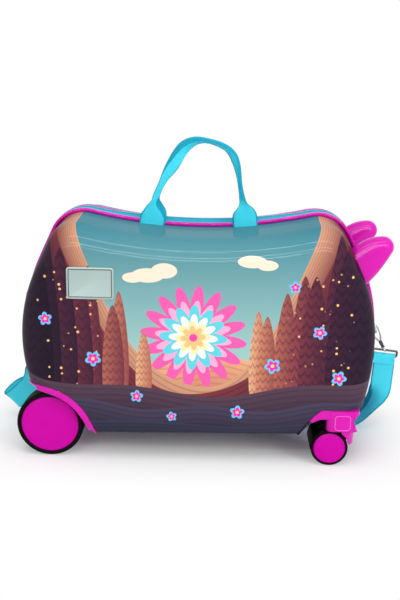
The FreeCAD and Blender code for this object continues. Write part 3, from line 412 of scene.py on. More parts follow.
def woven(name, colour, shade, half_width, pitch=0.0016, crease_shade=None):
    """Woven tape with ribs that follow the lengths marked on the piece, with a painted crease shade beyond its creases.
    """
    material, tree, shader = new_finish(name, sheen_weight=0.12, sheen_roughness=0.4, specular_ior_level=0.12)
    along = put(tree, "Attribute", attribute_name="along").outputs["Fac"]
    across = put(tree, "Attribute", attribute_name="across").outputs["Fac"]
    where = put(tree, "TexCoord").outputs["Object"]
    ribs = use_group(tree, weave, {"Along": along, "Across": across, "Pitch": pitch, "Half width": half_width})
    effect = use_group(tree, grain, {"Vector": where, "Pebble": 1800.0, "Gloss": 0.72, "Spread": 0.14})
    ribbed = blend_colours(tree, ribs["Shade"], shade, colour)
    worn = blend_colours(tree, sums(tree, "MULTIPLY", effect["Tone"], 0.16), ribbed, shade)
    # Beyond the creases the colour turns to a darker turquoise: painted shade of the fold.
    if crease_shade:
        turned = put(tree, "Attribute", attribute_name="turned").outputs["Fac"]
        worn = blend_colours(tree, turned, worn, crease_shade)
    height = sums(tree, "MULTIPLY_ADD", effect["Height"], 0.12, ribs["Height"])
    feed(tree, shader, worn, effect["Roughness"], height, 0.00016, 0.28)
    return material


def lining_cloth():
    """Thin plain-woven cloth glued inside the shells."""
    material, tree, shader = new_finish("lining_cloth", sheen_weight=0.3, sheen_roughness=0.5)
    where = put(tree, "TexCoord").outputs["Object"]
    parts = put(tree, "SeparateXYZ", {0: where}).outputs
    warp = sums(tree, "SINE", sums(tree, "MULTIPLY", parts[0], 5200.0))
    weft = sums(tree, "SINE", sums(tree, "MULTIPLY", parts[2], 5200.0))
    cross = sums(tree, "MULTIPLY_ADD", sums(tree, "MULTIPLY", warp, weft), 0.5, 0.5)
    effect = use_group(tree, grain, {"Vector": where, "Pebble": 500.0, "Gloss": 0.78, "Spread": 0.12})
    tone = blend_colours(tree, cross, screen(66, 58, 72), screen(92, 82, 98))
    feed(tree, shader, tone, effect["Roughness"], cross, 0.0001, 0.5)
    return material


turquoise = screen(72, 216, 236)
turquoise_deep = screen(42, 194, 218)
# A darker turquoise painted beyond the tape's creases and along its edges, as painted crease shade.
painted_crease_shade = screen(20, 156, 184)
strap_tape = woven("turquoise_strap_tape", screen(80, 226, 243), screen(52, 208, 230), 0.0145, crease_shade=painted_crease_shade)
handle_tape = woven("turquoise_handle_tape", turquoise, turquoise_deep, 0.0155, crease_shade=painted_crease_shade)
zip_cloth = woven("turquoise_zip_tape", screen(30, 178, 206), screen(14, 140, 168), 0.0065, 0.0012)
black_tape = woven("black_packing_tape", screen(46, 45, 50), screen(28, 27, 31), 0.0125)
lining = lining_cloth()
zip_plastic = moulded("zip_coil_plastic", screen(34, 184, 210), screen(22, 156, 184), 0.35, 0.10, 900.0, 0.00003)
print("woven finishes made")

# %% [markdown]
# ## Tow strap
# A flat strap hangs from the snap hook at the front, runs under the case and rises to the ring at
# the rear. It is one length of limp tape, so its middle line comes first, as a smooth spline on the
# same points as the solid one. The width turns from the side view to flat on the floor, and a
# second spline over the same points carries that turn.

# %% Lines and tape


def spline_points(points, resolution):
    """Points along a smooth spline that starts and ends on its first and last control points."""
    curve = bpy.data.curves.new("line", "CURVE")
    curve.dimensions = "3D"
    spline = curve.splines.new("NURBS")
    spline.points.add(len(points) - 1)
    for control, point in zip(spline.points, points):
        control.co = (*point, 1)
    spline.order_u = 3
    spline.use_endpoint_u = True
    curve.resolution_u = resolution
    holder = bpy.data.objects.new("line", curve)
    bpy.context.collection.objects.link(holder)
    mesh = bpy.data.meshes.new_from_object(holder)
    line = [v.co.copy() for v in mesh.vertices]
    bpy.data.objects.remove(holder)
    bpy.data.meshes.remove(mesh)
    return line


def lengths(line):
    """How far along a line each of its points lies."""
    run = [0.0]
    for one, two in zip(line, line[1:]):
        run.append(run[-1] + (two - one).length)
    return run


FLAT = (-0.44, 0.44)
FOLD_BACK = 0.7


def tape_section(width, thickness, creases=FLAT, fold=FOLD_BACK):
    """Cross-section of tape as (across, through) pairs; beyond each crease the tape turns back."""
    inner, outer = creases
    third = (outer - inner) / 3
    steps = (-0.5, -0.46, inner - 0.015, inner + 0.015, inner + third, outer - third, outer - 0.015, outer + 0.015,
             0.46, 0.5)
    upper = [(a, 0.5 if abs(a) < 0.5 else 0.0) for a in steps]
    lower = [(a, -0.5) for a in reversed(steps[1:-1])]
    section = []
    for a, side in upper + lower:
        back = max(0.0, a - outer, inner - a) * width * fold
        section.append((a * width, side * thickness - back))
    return section


# The section points beyond each crease; the tape finishes paint a darker shade on them, as painted shade in the fold.
TURNED = [1, 1, 1, 0, 0, 0, 0, 1, 1, 1] + [1, 1, 0, 0, 0, 0, 1, 1]


def tape_rings(line, wides, widths, thicknesses, creases, fold=FOLD_BACK):
    """Rings of tape along a line, each as wide as told in its own direction."""
    rings = []
    for i, place in enumerate(line):
        way = (line[min(i + 1, len(line) - 1)] - line[max(i - 1, 0)]).normalized()
        across = (wides[i] - way * wides[i].dot(way)).normalized()
        through = way.cross(across)
        section = tape_section(widths[i], thicknesses[i], creases[i], fold)
        rings.append([place + across * a + through * b for a, b in section])
    return rings


def tape_across(width):
    return [a for a, b in tape_section(width, 1.0)]


STRAP_WIDTH = 0.0296
STRAP_THICKNESS = 0.0022
FLOOR_Z = 1.4
STRAP_STEPS = [
    # place, and the direction of the tape's width
    ((256.4, 33, 103.2), (1, 0, 0)), ((255.9, 33, 86), (1, 0, 0)), ((254.8, 33, 70), (1, 0, 0)),
    ((254.2, 33, 58), (1, -0.06, 0.02)), ((250, 32.5, 45), (0.72, -0.66, -0.14)),
    ((240.5, 31, 31), (0.3, -0.93, -0.2)), ((223, 28, 10.5), (0.14, -0.98, -0.1)),
    ((199, 25, FLOOR_Z + 0.8), (0, -1, 0)), ((162, 36, FLOOR_Z), (0, -1, 0)),
    ((132, 58, FLOOR_Z), (0, -1, 0)), ((95, 48, FLOOR_Z), (0, -1, 0)), ((45, 35, FLOOR_Z), (0, -1, 0)),
    ((-5, 31, FLOOR_Z), (0, -1, 0)), ((-55, 34, FLOOR_Z), (0, -1, 0)), ((-105, 31, FLOOR_Z), (0, -1, 0)),
    ((-155, 30, FLOOR_Z), (0, -1, 0)), ((-188, 38, FLOOR_Z), (0, -1, 0)), ((-212, 52, FLOOR_Z + 0.6), (0, -1, 0)),
    ((-231, 61, 8), (0.2, -0.95, -0.2)), ((-239, 62, 25), (0.5, -0.75, -0.4)), ((-244, 55, 39), (0.66, -0.4, -0.62)),
    ((-254, 48, 40), (0.717, 0, -0.697)), ((-264.5, 46, 32), (0.717, 0, -0.697)), ((-270.5, 41, 25), (0.717, 0, -0.697)),
    ((-268.5, 33, 23.5), (0.717, 0, -0.697)), ((-260, 29, 30), (0.717, 0, -0.697)), ((-250, 27.5, 40), (0.717, 0, -0.697)),
    ((-238, 28.5, 52), (0.8, 0, -0.6)), ((-232.5, 31, 68), (1, 0.05, -0.1)), ((-234, 33, 86), (0.45, 0.9, 0)),
    ((-237.2, 33, 103.9), (0, 1, 0)),
]
STRAP_FOLD = -0.12
# Where the inner crease draws in, more of the strap's inner side takes the painted crease shade.
STRAP_CREASE = [-0.44, -0.44, -0.44, -0.42, -0.26, -0.12, -0.1, -0.2]
strap_line = spline_points([Vector(place) * MM for place, wide in STRAP_STEPS], 10)
strap_wides = spline_points([Vector(wide) for place, wide in STRAP_STEPS], 10)
inner_crease = STRAP_CREASE + [-0.44] * (len(STRAP_STEPS) - len(STRAP_CREASE))
strap_creases = [(v.x, 0.44) for v in spline_points([Vector((c, 0, 0)) for c in inner_crease], 10)]
strap_run = lengths(strap_line)
count = len(strap_line)
strap = skin(
    "tow_strap_tape",
    tape_rings(strap_line, strap_wides, [STRAP_WIDTH] * count, [STRAP_THICKNESS] * count, strap_creases, STRAP_FOLD),
    along=strap_run,
    across=tape_across(STRAP_WIDTH),
    turned=TURNED,
)
smooth(strap)
dress(strap, "far_half", "turquoise_webbing", strap_tape, stands_for=["tow_strap"])
print("tow strap", round(strap_run[-1], 3), "m in", count, "rings")

# %% [markdown]
# ## Strap ends
# At each end the tape goes round the bar of a ring and is sewn back on itself. Each loop is a short
# band of the same tape, bent round its bar.

# %% Loops round the ring bars


def end_loop(name, bar, radius, leg, lean, flat):
    """A loop of tape round a bar: up one side, over, and down the other."""
    points = []
    for k in range(13):
        a = math.pi * k / 12
        points.append((-math.cos(a) * radius, math.sin(a) * radius))
    points = [(-radius, -leg), (-radius, -leg / 2)] + points + [(radius * 0.9, -leg * 0.35), (radius * 0.8, -leg * 0.7)]
    side = Vector((1, 0, 0)) if flat else Vector((0, 1, 0))
    line = [Vector(bar) + side * (s + lean * z) + Vector((0, 0, z)) for s, z in points]
    rings = []
    wide = Vector((0, 1, 0)) if flat else Vector((1, 0, 0))
    for i, place in enumerate(line):
        way = (line[min(i + 1, len(line) - 1)] - line[max(i - 1, 0)]).normalized()
        through = way.cross(wide).normalized()
        rings.append([place + wide * a + through * b for a, b in tape_section(STRAP_WIDTH - 0.0006, 0.0016)])
    loop = skin(name, rings, along=lengths(line), across=tape_across(STRAP_WIDTH))
    smooth(loop)
    return dress(loop, "far_half", "turquoise_webbing", strap_tape)


RING_TILT = Matrix.Rotation(math.radians(6), 4, "Y")
front_loop = end_loop("front_strap_loop", (0.256, 0.033, 0.105), 0.0031, 0.011, 0.0, False)
front_loop.data.transform(Matrix.Translation((0.256, 0.033, 0.105)) @ RING_TILT @ Matrix.Translation((-0.256, -0.033, -0.105)))
rear_loop = end_loop("rear_strap_loop", (-0.2372, 0.033, 0.10696), 0.0033, 0.020, -0.33, True)
print("strap loops", front_loop.name, rear_loop.name)

# %% [markdown]
# ## Outline of the case
# Seen from the side the case is a saddle: two rounded peaks, a long shallow dip, sloped ends and
# round corners at the belly. Every band and shell follows that one outline, so it is laid out once
# as arcs and lines that meet smoothly, and sampled with its outward directions.

# %% Sample the outline
HALF_LENGTH, SIDE_R, SIDE_Z = 225.8, 208.8, 155.0
PEAK_X, PEAK_Z, PEAK_R = 150.0, 264.0, 42.0
SADDLE_Z, CORNER_R = 289.5, 59.5
BELLY_REAR, BELLY_FRONT = 23.5, 30.0
SIDE_X = HALF_LENGTH - SIDE_R
LOW_FRONT_R = 330.0


def case_outline(step=3.4):
    """Points and outward directions round the case, from the belly up the front and back down."""
    rise = SADDLE_Z - PEAK_Z
    saddle_r = (PEAK_X**2 + rise**2 - PEAK_R**2) / (2 * (PEAK_R - rise))
    saddle = (0.0, SADDLE_Z + saddle_r)

    def corner(belly, radius):
        z = belly + CORNER_R
        return (HALF_LENGTH - radius + math.sqrt((radius - CORNER_R) ** 2 - (SIDE_Z - z) ** 2), z)

    front = corner(BELLY_FRONT, LOW_FRONT_R)
    rear = (-corner(BELLY_REAR, SIDE_R)[0], corner(BELLY_REAR, SIDE_R)[1])
    low_side = (HALF_LENGTH - LOW_FRONT_R, SIDE_Z)

    def heading(one, two):
        return math.atan2(two[1] - one[1], two[0] - one[0])

    belly = heading(rear, front) - math.pi / 2
    gap = math.dist((SIDE_X, SIDE_Z), (PEAK_X, PEAK_Z))
    slope = heading((SIDE_X, SIDE_Z), (PEAK_X, PEAK_Z)) - math.acos((SIDE_R - PEAK_R) / gap)
    top = heading(saddle, (PEAK_X, PEAK_Z))
    low_front = heading(low_side, front)
    low_rear = heading((-SIDE_X, SIDE_Z), rear) % (2 * math.pi)
    arcs = [
        (front, CORNER_R, belly, low_front),
        (low_side, LOW_FRONT_R, low_front, 0.0),
        ((SIDE_X, SIDE_Z), SIDE_R, 0.0, slope),
        ((PEAK_X, PEAK_Z), PEAK_R, slope, top + math.pi),
        (saddle, -saddle_r, top, -math.pi - top),
        ((-PEAK_X, PEAK_Z), PEAK_R, -top, math.pi - slope),
        ((-SIDE_X, SIDE_Z), SIDE_R, math.pi - slope, low_rear),
        (rear, CORNER_R, low_rear, belly + 2 * math.pi),
    ]
    samples = []
    for centre, radius, start, end in arcs:
        size = abs(radius)
        steps = max(4, math.ceil(abs(end - start) * size / min(step, size * 0.09)))
        for k in range(steps + 1):
            a = start + (end - start) * k / steps
            way = Vector((math.cos(a), math.sin(a)))
            point = Vector(centre) + way * size
            samples.append((point, way if radius > 0 else -way))
    whole = []
    for i, (point, normal) in enumerate(samples):
        following, _ = samples[(i + 1) % len(samples)]
        if (following - point).length < 1e-6:
            continue
        pieces = max(1, math.ceil((following - point).length / (step * 1.6)))
        for k in range(pieces):
            whole.append((point.lerp(following, k / pieces), normal))
    return whole


outline = case_outline()
print(len(outline), "points round the case")

# %% [markdown]
# ## Printed shells
# Each half is a thin moulded shell with a glossy printed skin. The skin starts at the open edge,
# draws in a little so that the mould releases it, rounds over a wide radius and closes with a flat
# side. Solidify gives it a wall, and the wheel arch and the front corner are cut out afterwards.

# %% Shell skin
DRAFT = math.tan(math.radians(3.8))
EDGE_OUT, FACE_OUT, ROUND = 16.0, 104.0, 30.0


def outline_ring(inset, out):
    """The whole outline, drawn in by a distance, on the near side at a distance out."""
    return [Vector((p.x - n.x * inset, -out, p.y - n.y * inset)) * MM for p, n in outline]


def hull_profile(grow=0.0):
    """(inset, out) pairs from the open edge, up the drafted wall and round to the flat side."""
    lean = math.atan(DRAFT)
    radius = ROUND + grow
    middle_out = FACE_OUT - ROUND
    middle_in = radius / math.cos(lean) + (middle_out - EDGE_OUT) * DRAFT - grow
    profile = [(t * 4.0 * DRAFT - grow, EDGE_OUT + t * 4.0) for t in range(14)]
    for k in range(17):
        a = lean + (math.pi / 2 - lean) * k / 16
        profile.append((middle_in - radius * math.cos(a), middle_out + radius * math.sin(a)))
    return profile


def hull_skin(name, grow=0.0, closed=False):
    rings = [outline_ring(inset, out) for inset, out in hull_profile(grow)]
    last_in, last_out = hull_profile(grow)[-1]
    rings.append(outline_ring(last_in + 4.0, last_out))
    piece = skin(name, rings, capped=closed)
    if not closed:
        alone(piece)
        bpy.ops.object.mode_set(mode="EDIT")
        bpy.ops.mesh.select_all(action="DESELECT")
        mesh = bmesh.from_edit_mesh(piece.data)
        face_y = -last_out * MM
        for edge in mesh.edges:
            if edge.is_boundary and all(abs(v.co.y - face_y) < 1e-6 for v in edge.verts):
                edge.select = True
        bpy.ops.mesh.edge_face_add()
        bpy.ops.mesh.select_all(action="SELECT")
        bpy.ops.mesh.normals_make_consistent(inside=False)
        bpy.ops.object.mode_set(mode="OBJECT")
    return piece


def side_prism(name, side_points, out_from, out_to):
    """A closed block with a side-view outline in millimetres, between two distances out."""
    rings = [[Vector((x, -out, z)) * MM for x, z in side_points] for out in (out_from, out_to)]
    return skin(name, rings)


def circle_points(x, z, radius, count=96):
    turn = 2 * math.pi / count
    return [(x + radius * math.cos(turn * k), z + radius * math.sin(turn * k)) for k in range(count)]


def arc_through(one, two, three, count=14):
    """Points on the circle through three points, from the first to the last."""
    (ax, ay), (bx, by), (cx, cy) = one, two, three
    d = 2 * (ax * (by - cy) + bx * (cy - ay) + cx * (ay - by))
    ux = ((ax**2 + ay**2) * (by - cy) + (bx**2 + by**2) * (cy - ay) + (cx**2 + cy**2) * (ay - by)) / d
    uy = ((ax**2 + ay**2) * (cx - bx) + (bx**2 + by**2) * (ax - cx) + (cx**2 + cy**2) * (bx - ax)) / d
    radius = math.dist((ux, uy), one)
    start = math.atan2(ay - uy, ax - ux)
    end = math.atan2(cy - uy, cx - ux)
    sweep = (end - start + math.pi) % (2 * math.pi) - math.pi
    return [(ux + radius * math.cos(start + sweep * k / count), uy + radius * math.sin(start + sweep * k / count))
            for k in range(count + 1)]


ARCH_X, ARCH_Z, ARCH_R = -204.0, 21.0, 77.5
well_arc = arc_through((129.0, 30.0), (139.5, 57.0), (158.0, 75.7))
front_cut = [(129.0, -1.5)] + well_arc + [(255.8, 75.7), (255.8, -1.5)]


def make_shell():
    shell = hull_skin("near_printed_shell")
    for empty_slot in range(2):
        shell.data.materials.append(None)
    apply_modifier(shell, "SOLIDIFY", thickness=0.0025, offset=-1.0, material_offset=1, material_offset_rim=0)
    arch = side_prism("arch_cutter", circle_points(ARCH_X, ARCH_Z, ARCH_R + 0.2, 144), 49.5, 116.0)
    corner = side_prism("corner_cutter", front_cut, 31.0, 116.0)
    take_away(shell, arch, corner)
    smooth(shell, 30.0)
    return shell


near_shell = make_shell()
far_shell = far_copy(near_shell, "far_printed_shell")
print("shell has", len(near_shell.data.polygons), "faces")

# %% [markdown]
# ## Printed picture
# The shells carry a bright all-over print. This one is a plain design of its own: an avenue of tall
# trees at dusk, dark at both ends, under a teal sky, with a petalled sun and scattered blossoms. It
# is drawn by arithmetic on the object's own coordinates, so it needs no picture file. Groups draw a
# hill, a tree, a soft disc, a blossom and small lights, and each is painted over the one before.

# %% Groups of the print


def make_hill():
    names = ["X", "Z", "Crest", "Lift", "Swell", "Waves", "Phase", "Fade", "Furrow"]
    tree, given, out = new_group(
        "print_hill",
        [(n, "value") for n in names] + [("Light", "colour"), ("Dark", "colour"), ("Under", "colour")],
        [("Colour", "colour")],
    )
    x, z = given["X"], given["Z"]
    wave = sums(tree, "SINE", sums(tree, "MULTIPLY_ADD", x, given["Waves"], given["Phase"]))
    bowl = sums(tree, "MULTIPLY_ADD", sums(tree, "MULTIPLY", x, x), given["Lift"], given["Crest"])
    depth = sums(tree, "SUBTRACT", sums(tree, "MULTIPLY_ADD", wave, given["Swell"], bowl), z)
    inside = sums(tree, "MULTIPLY", depth, 1600.0, clamp=True)
    fall = sums(tree, "DIVIDE", depth, given["Fade"], clamp=True)
    body = blend_colours(tree, fall, given["Light"], given["Dark"])
    turn = sums(tree, "FRACT", sums(tree, "DIVIDE", depth, given["Furrow"]))
    groove = sums(tree, "MULTIPLY", sums(tree, "SUBTRACT", turn, 0.66), 12.0, clamp=True)
    lined = blend_colours(tree, sums(tree, "MULTIPLY", groove, 0.34), body, given["Dark"])
    crest_line = sums(tree, "COMPARE", depth, 0.0012, 0.0009)
    edged = blend_colours(tree, sums(tree, "MULTIPLY", crest_line, 0.55), lined, given["Light"])
    tree.links.new(blend_colours(tree, inside, given["Under"], edged), out["Colour"])
    return tree


def make_disc():
    tree, given, out = new_group(
        "print_disc",
        [(n, "value") for n in ("X", "Z", "Centre X", "Centre Z", "Radius", "Squash")]
        + [("Ink", "colour"), ("Under", "colour")],
        [("Colour", "colour")],
    )
    dx = sums(tree, "SUBTRACT", given["X"], given["Centre X"])
    dz = sums(tree, "DIVIDE", sums(tree, "SUBTRACT", given["Z"], given["Centre Z"]), given["Squash"])
    away = sums(tree, "SQRT", sums(tree, "MULTIPLY_ADD", dx, dx, sums(tree, "MULTIPLY", dz, dz)))
    inside = sums(tree, "MULTIPLY", sums(tree, "SUBTRACT", given["Radius"], away), 1600.0, clamp=True)
    tree.links.new(blend_colours(tree, inside, given["Under"], given["Ink"]), out["Colour"])
    return tree


def make_blossom():
    tree, given, out = new_group(
        "print_blossom",
        [(n, "value") for n in ("X", "Z", "Centre X", "Centre Z", "Radius", "Turn", "Petals")]
        + [("Outer", "colour"), ("Inner", "colour"), ("Heart", "colour"), ("Under", "colour")],
        [("Colour", "colour")],
    )
    dx = sums(tree, "SUBTRACT", given["X"], given["Centre X"])
    dz = sums(tree, "SUBTRACT", given["Z"], given["Centre Z"])
    away = sums(tree, "SQRT", sums(tree, "MULTIPLY_ADD", dx, dx, sums(tree, "MULTIPLY", dz, dz)))
    around = sums(tree, "ADD", sums(tree, "ARCTAN2", dz, dx), given["Turn"])
    petal = sums(tree, "ABSOLUTE", sums(tree, "SINE", sums(tree, "MULTIPLY", around, given["Petals"])))
    reach = sums(tree, "MULTIPLY", sums(tree, "MULTIPLY_ADD", petal, 0.38, 0.62), given["Radius"])
    colour = given["Under"]
    for share, ink in ((1.0, "Outer"), (0.72, "Inner")):
        rim = sums(tree, "MULTIPLY", reach, share)
        mask = sums(tree, "MULTIPLY", sums(tree, "SUBTRACT", rim, away), 1600.0, clamp=True)
        colour = blend_colours(tree, mask, colour, given[ink])
    core = sums(tree, "MULTIPLY", given["Radius"], 0.24)
    mask = sums(tree, "MULTIPLY", sums(tree, "SUBTRACT", core, away), 1600.0, clamp=True)
    tree.links.new(blend_colours(tree, mask, colour, given["Heart"]), out["Colour"])
    return tree


def make_tree():
    """A tall pointed tree, light on one side, with rows of scalloped leaves."""
    tree, given, out = new_group(
        "print_tree",
        [(n, "value") for n in ("X", "Z", "Centre X", "Base", "Half width", "Height", "Rows")]
        + [(n, "colour") for n in ("Light", "Dark", "Under")],
        [("Colour", "colour")],
    )
    u = sums(tree, "DIVIDE", sums(tree, "SUBTRACT", given["X"], given["Centre X"]), given["Half width"])
    v = sums(tree, "DIVIDE", sums(tree, "SUBTRACT", given["Z"], given["Base"]), given["Height"], clamp=True)
    swell = sums(tree, "MULTIPLY", sums(tree, "POWER", v, 0.3), 1.75)
    profile = sums(tree, "MULTIPLY", swell, sums(tree, "POWER", sums(tree, "SUBTRACT", 1.0, v), 0.6))
    inside = sums(tree, "MULTIPLY", sums(tree, "SUBTRACT", profile, sums(tree, "ABSOLUTE", u)), 22.0, clamp=True)
    body = blend_colours(tree, sums(tree, "MULTIPLY_ADD", u, 0.55, 0.45, clamp=True), given["Light"], given["Dark"])
    bows = sums(tree, "ABSOLUTE", sums(tree, "SINE", sums(tree, "MULTIPLY", u, 6.0)))
    turn = sums(tree, "FRACT", sums(tree, "MULTIPLY_ADD", v, given["Rows"], sums(tree, "MULTIPLY", bows, 0.5)))
    leaf = sums(tree, "MULTIPLY", sums(tree, "SUBTRACT", turn, 0.55), 3.0, clamp=True)
    leafy = blend_colours(tree, sums(tree, "MULTIPLY", leaf, 0.75), body, given["Dark"])
    tree.links.new(blend_colours(tree, inside, given["Under"], leafy), out["Colour"])
    return tree


def make_lights():
    """Small warm lights, strewn at random towards both ends."""
    tree, given, out = new_group(
        "print_lights",
        [(n, "value") for n in ("X", "Z", "From", "To", "Top", "Density", "Size")] + [("Ink", "colour"), ("Under", "colour")],
        [("Colour", "colour")],
    )
    flat = put(tree, "CombineXYZ", {0: given["X"], 2: given["Z"]}).outputs[0]
    dots = put(tree, "TexVoronoi", {"Vector": flat, "Scale": given["Density"]})
    chosen = sums(tree, "GREATER_THAN", put(tree, "SeparateColor", {0: dots.outputs["Color"]}).outputs[0], 0.5)
    lit = sums(tree, "MULTIPLY", sums(tree, "SUBTRACT", given["Size"], dots.outputs["Distance"]), 14.0, clamp=True)
    beyond = sums(tree, "MULTIPLY", sums(tree, "SUBTRACT", sums(tree, "ABSOLUTE", given["X"]), given["From"]), 60.0,
                  clamp=True)
    below = sums(tree, "LESS_THAN", given["Z"], given["Top"])
    before = sums(tree, "LESS_THAN", sums(tree, "ABSOLUTE", given["X"]), given["To"])
    where = sums(tree, "MULTIPLY", sums(tree, "MULTIPLY", beyond, below), before)
    share = sums(tree, "MULTIPLY", sums(tree, "MULTIPLY", lit, chosen), where)
    tree.links.new(blend_colours(tree, share, given["Under"], given["Ink"]), out["Colour"])
    return tree


hill, disc, blossom, poplar, lights = make_hill(), make_disc(), make_blossom(), make_tree(), make_lights()
print("print groups:", *(group.name for group in (hill, disc, blossom, poplar, lights)))

# %% [markdown]
# ### The painting itself
# Each layer of the picture is one row of numbers, so a layer can be moved or recoloured without
# touching the nodes. The printed film is glossy, so a thin clear coat lies over the colours.

# %% Paint the print
HILLS_FAR = [
    # crest, lift, swell, waves, phase, fade, furrow, light, dark
    (0.138, 0.8, 0.008, 46.0, 0.6, 0.080, 0.0080, (226, 166, 126), (176, 96, 86)),
    (0.100, 9.0, 0.005, 38.0, 2.4, 0.080, 0.0085, (206, 152, 120), (128, 68, 68)),
    (0.088, 6.8, 0.006, 30.0, 1.1, 0.090, 0.0085, (118, 50, 60), (50, 23, 42)),
]
HILLS_NEAR = [
    (0.094, 0.5, 0.005, 31.0, 4.0, 0.045, 0.0075, (82, 60, 76), (50, 36, 56)),
    (0.074, 0.3, 0.004, 42.0, 1.2, 0.040, 0.0065, (68, 60, 82), (40, 35, 54)),
    (0.052, 0.2, 0.003, 27.0, 3.1, 0.030, 0.0060, (54, 54, 76), (32, 32, 50)),
]
LEAVES = [(222, 168, 128), (198, 130, 100), (168, 96, 82), (138, 66, 70), (110, 48, 62), (84, 36, 56), (62, 28, 50),
          (46, 24, 46), (34, 20, 40), (26, 16, 34)]
TREE_PAIRS = 8
CLOUDS = [(-0.060, 0.243, 0.020, 0.45), (-0.040, 0.249, 0.016, 0.6), (-0.078, 0.240, 0.013, 0.5),
          (0.066, 0.262, 0.018, 0.42), (0.084, 0.258, 0.013, 0.5)]
SUN = [
    # radius, half the number of petals, outer, inner, heart
    (0.066, 8.0, (232, 92, 168), (246, 168, 204), (255, 240, 236)),
    (0.042, 6.0, (96, 204, 218), (252, 236, 232), (240, 120, 178)),
    (0.022, 4.0, (255, 226, 168), (250, 190, 130), (232, 70, 160)),
]
BLOSSOMS = [(-0.186, 0.186, 0.0090, 0.2), (-0.128, 0.136, 0.0105, 0.9), (-0.074, 0.088, 0.0085, 1.7),
            (0.052, 0.070, 0.0095, 0.4), (0.094, 0.132, 0.0105, 1.1), (0.150, 0.176, 0.0090, 2.0),
            (0.176, 0.118, 0.0100, 0.7), (-0.030, 0.062, 0.0070, 2.6), (0.118, 0.232, 0.0080, 1.5)]


def print_film():
    """Glossy printed film: the painted colours under a clear coat."""
    material, tree, shader = new_finish("printed_film", specular_ior_level=0.0, coat_weight=0.25, coat_roughness=0.03)
    where = put(tree, "TexCoord").outputs["Object"]
    parts = put(tree, "SeparateXYZ", {0: where}).outputs
    x, z = parts[0], parts[2]
    height = sums(tree, "MULTIPLY", sums(tree, "SUBTRACT", z, 0.15), 6.6, clamp=True)
    colour = blend_colours(tree, height, screen(150, 192, 188), screen(58, 126, 142))
    for cx, cz, radius, squash in CLOUDS:
        colour = use_group(tree, disc, {"X": x, "Z": z, "Centre X": cx, "Centre Z": cz, "Radius": radius,
                                        "Squash": squash, "Ink": screen(238, 222, 200), "Under": colour})["Colour"]

    def paint_hills(rows, colour):
        for crest, lift, swell, waves, phase, fade, furrow, light, dark in rows:
            colour = use_group(tree, hill, {
                "X": x, "Z": z, "Crest": crest, "Lift": lift, "Swell": swell, "Waves": waves, "Phase": phase,
                "Fade": fade, "Furrow": furrow, "Light": screen(*light), "Dark": screen(*dark),
                "Under": colour})["Colour"]
        return colour

    colour = paint_hills(HILLS_FAR[:1], colour)
    for radius, petals, *inks in SUN:
        outer, inner, heart = (screen(*ink) for ink in inks)
        colour = use_group(tree, blossom, {
            "X": x, "Z": z, "Centre X": -0.004, "Centre Z": 0.166, "Radius": radius, "Turn": 0.3, "Petals": petals,
            "Outer": outer, "Inner": inner, "Heart": heart, "Under": colour})["Colour"]
    colour = paint_hills(HILLS_FAR[1:], colour)
    for k in range(TREE_PAIRS):
        near = k / (TREE_PAIRS - 1)
        for way in (-1, 1):
            sway = 0.006 * math.sin(2.7 * k + way)
            colour = use_group(tree, poplar, {
                "X": x, "Z": z, "Centre X": way * (0.070 + 0.135 * near + sway), "Base": 0.082 - 0.030 * near,
                "Half width": 0.0105 + 0.0135 * near, "Height": 0.105 + 0.155 * near + 3.0 * sway, "Rows": 11.0 + 6.0 * near,
                "Light": screen(*LEAVES[k]), "Dark": screen(*LEAVES[k + 2]), "Under": colour})["Colour"]
        if k in (3, TREE_PAIRS - 1):
            colour = use_group(tree, lights, {
                "X": x, "Z": z, "From": 0.09 + 0.04 * near, "To": 0.196, "Top": 0.20 + 0.05 * near, "Density": 150.0 - 40.0 * near, "Size": 0.22,
                "Ink": screen(250, 190, 120), "Under": colour})["Colour"]
    colour = paint_hills(HILLS_NEAR, colour)
    for cx, cz, radius, turn in BLOSSOMS:
        colour = use_group(tree, blossom, {
            "X": x, "Z": z, "Centre X": cx, "Centre Z": cz, "Radius": radius, "Turn": turn, "Petals": 2.5,
            "Outer": screen(92, 196, 236), "Inner": screen(232, 44, 176), "Heart": screen(255, 214, 92),
            "Under": colour})["Colour"]
    effect = use_group(tree, grain, {"Vector": where, "Pebble": 26.0, "Gloss": 0.30, "Spread": 0.10})
    feed(tree, shader, colour, effect["Roughness"], effect["Height"], 0.0006, 0.10)
    return material


film = print_film()
for half, shell in (("near", near_shell), ("far", far_shell)):
    dress(shell, f"{half}_half", "printed_shell", film, lining, stands_for=[f"{half}_shell"])
print("print has", len(film.node_tree.nodes), "nodes")

# %% [markdown]
# ## Rim, zip tape and hinge strip
# A pink rim grips the edge of each shell. Between the rims lies the zip: turquoise tape with a row
# of coil teeth on each half. Below, where the halves hinge, a plain strip takes its place. All of
# them are one cross-section carried round the outline, so one helper makes them.

# %% Bands round the outline


def saddle_bulge(x, out):
    """How far the closed zip rises between the rims at a place along the saddle."""
    middle = max(0.0, 1.0 - (x / 125.0) ** 2) ** 0.7
    return 3.4 * middle * max(0.0, 1.0 - (out / 12.8) ** 2)


def band(name, section, samples, closed, bulge=False):
    """Carry a cross-section of (grow, out) pairs in millimetres along part of the outline."""
    rings = []
    line = []
    for p, n in samples:
        lift = [saddle_bulge(p.x, o) if bulge and p.y > 200 else 0.0 for g, o in section]
        rings.append([Vector((p.x + n.x * (g + up), -o, p.y + n.y * (g + up))) * MM
                      for (g, o), up in zip(section, lift)])
        line.append(Vector((p.x, 0, p.y)) * MM)
    return skin(name, rings, closed=closed, along=lengths(line), across=[o * MM for g, o in section])


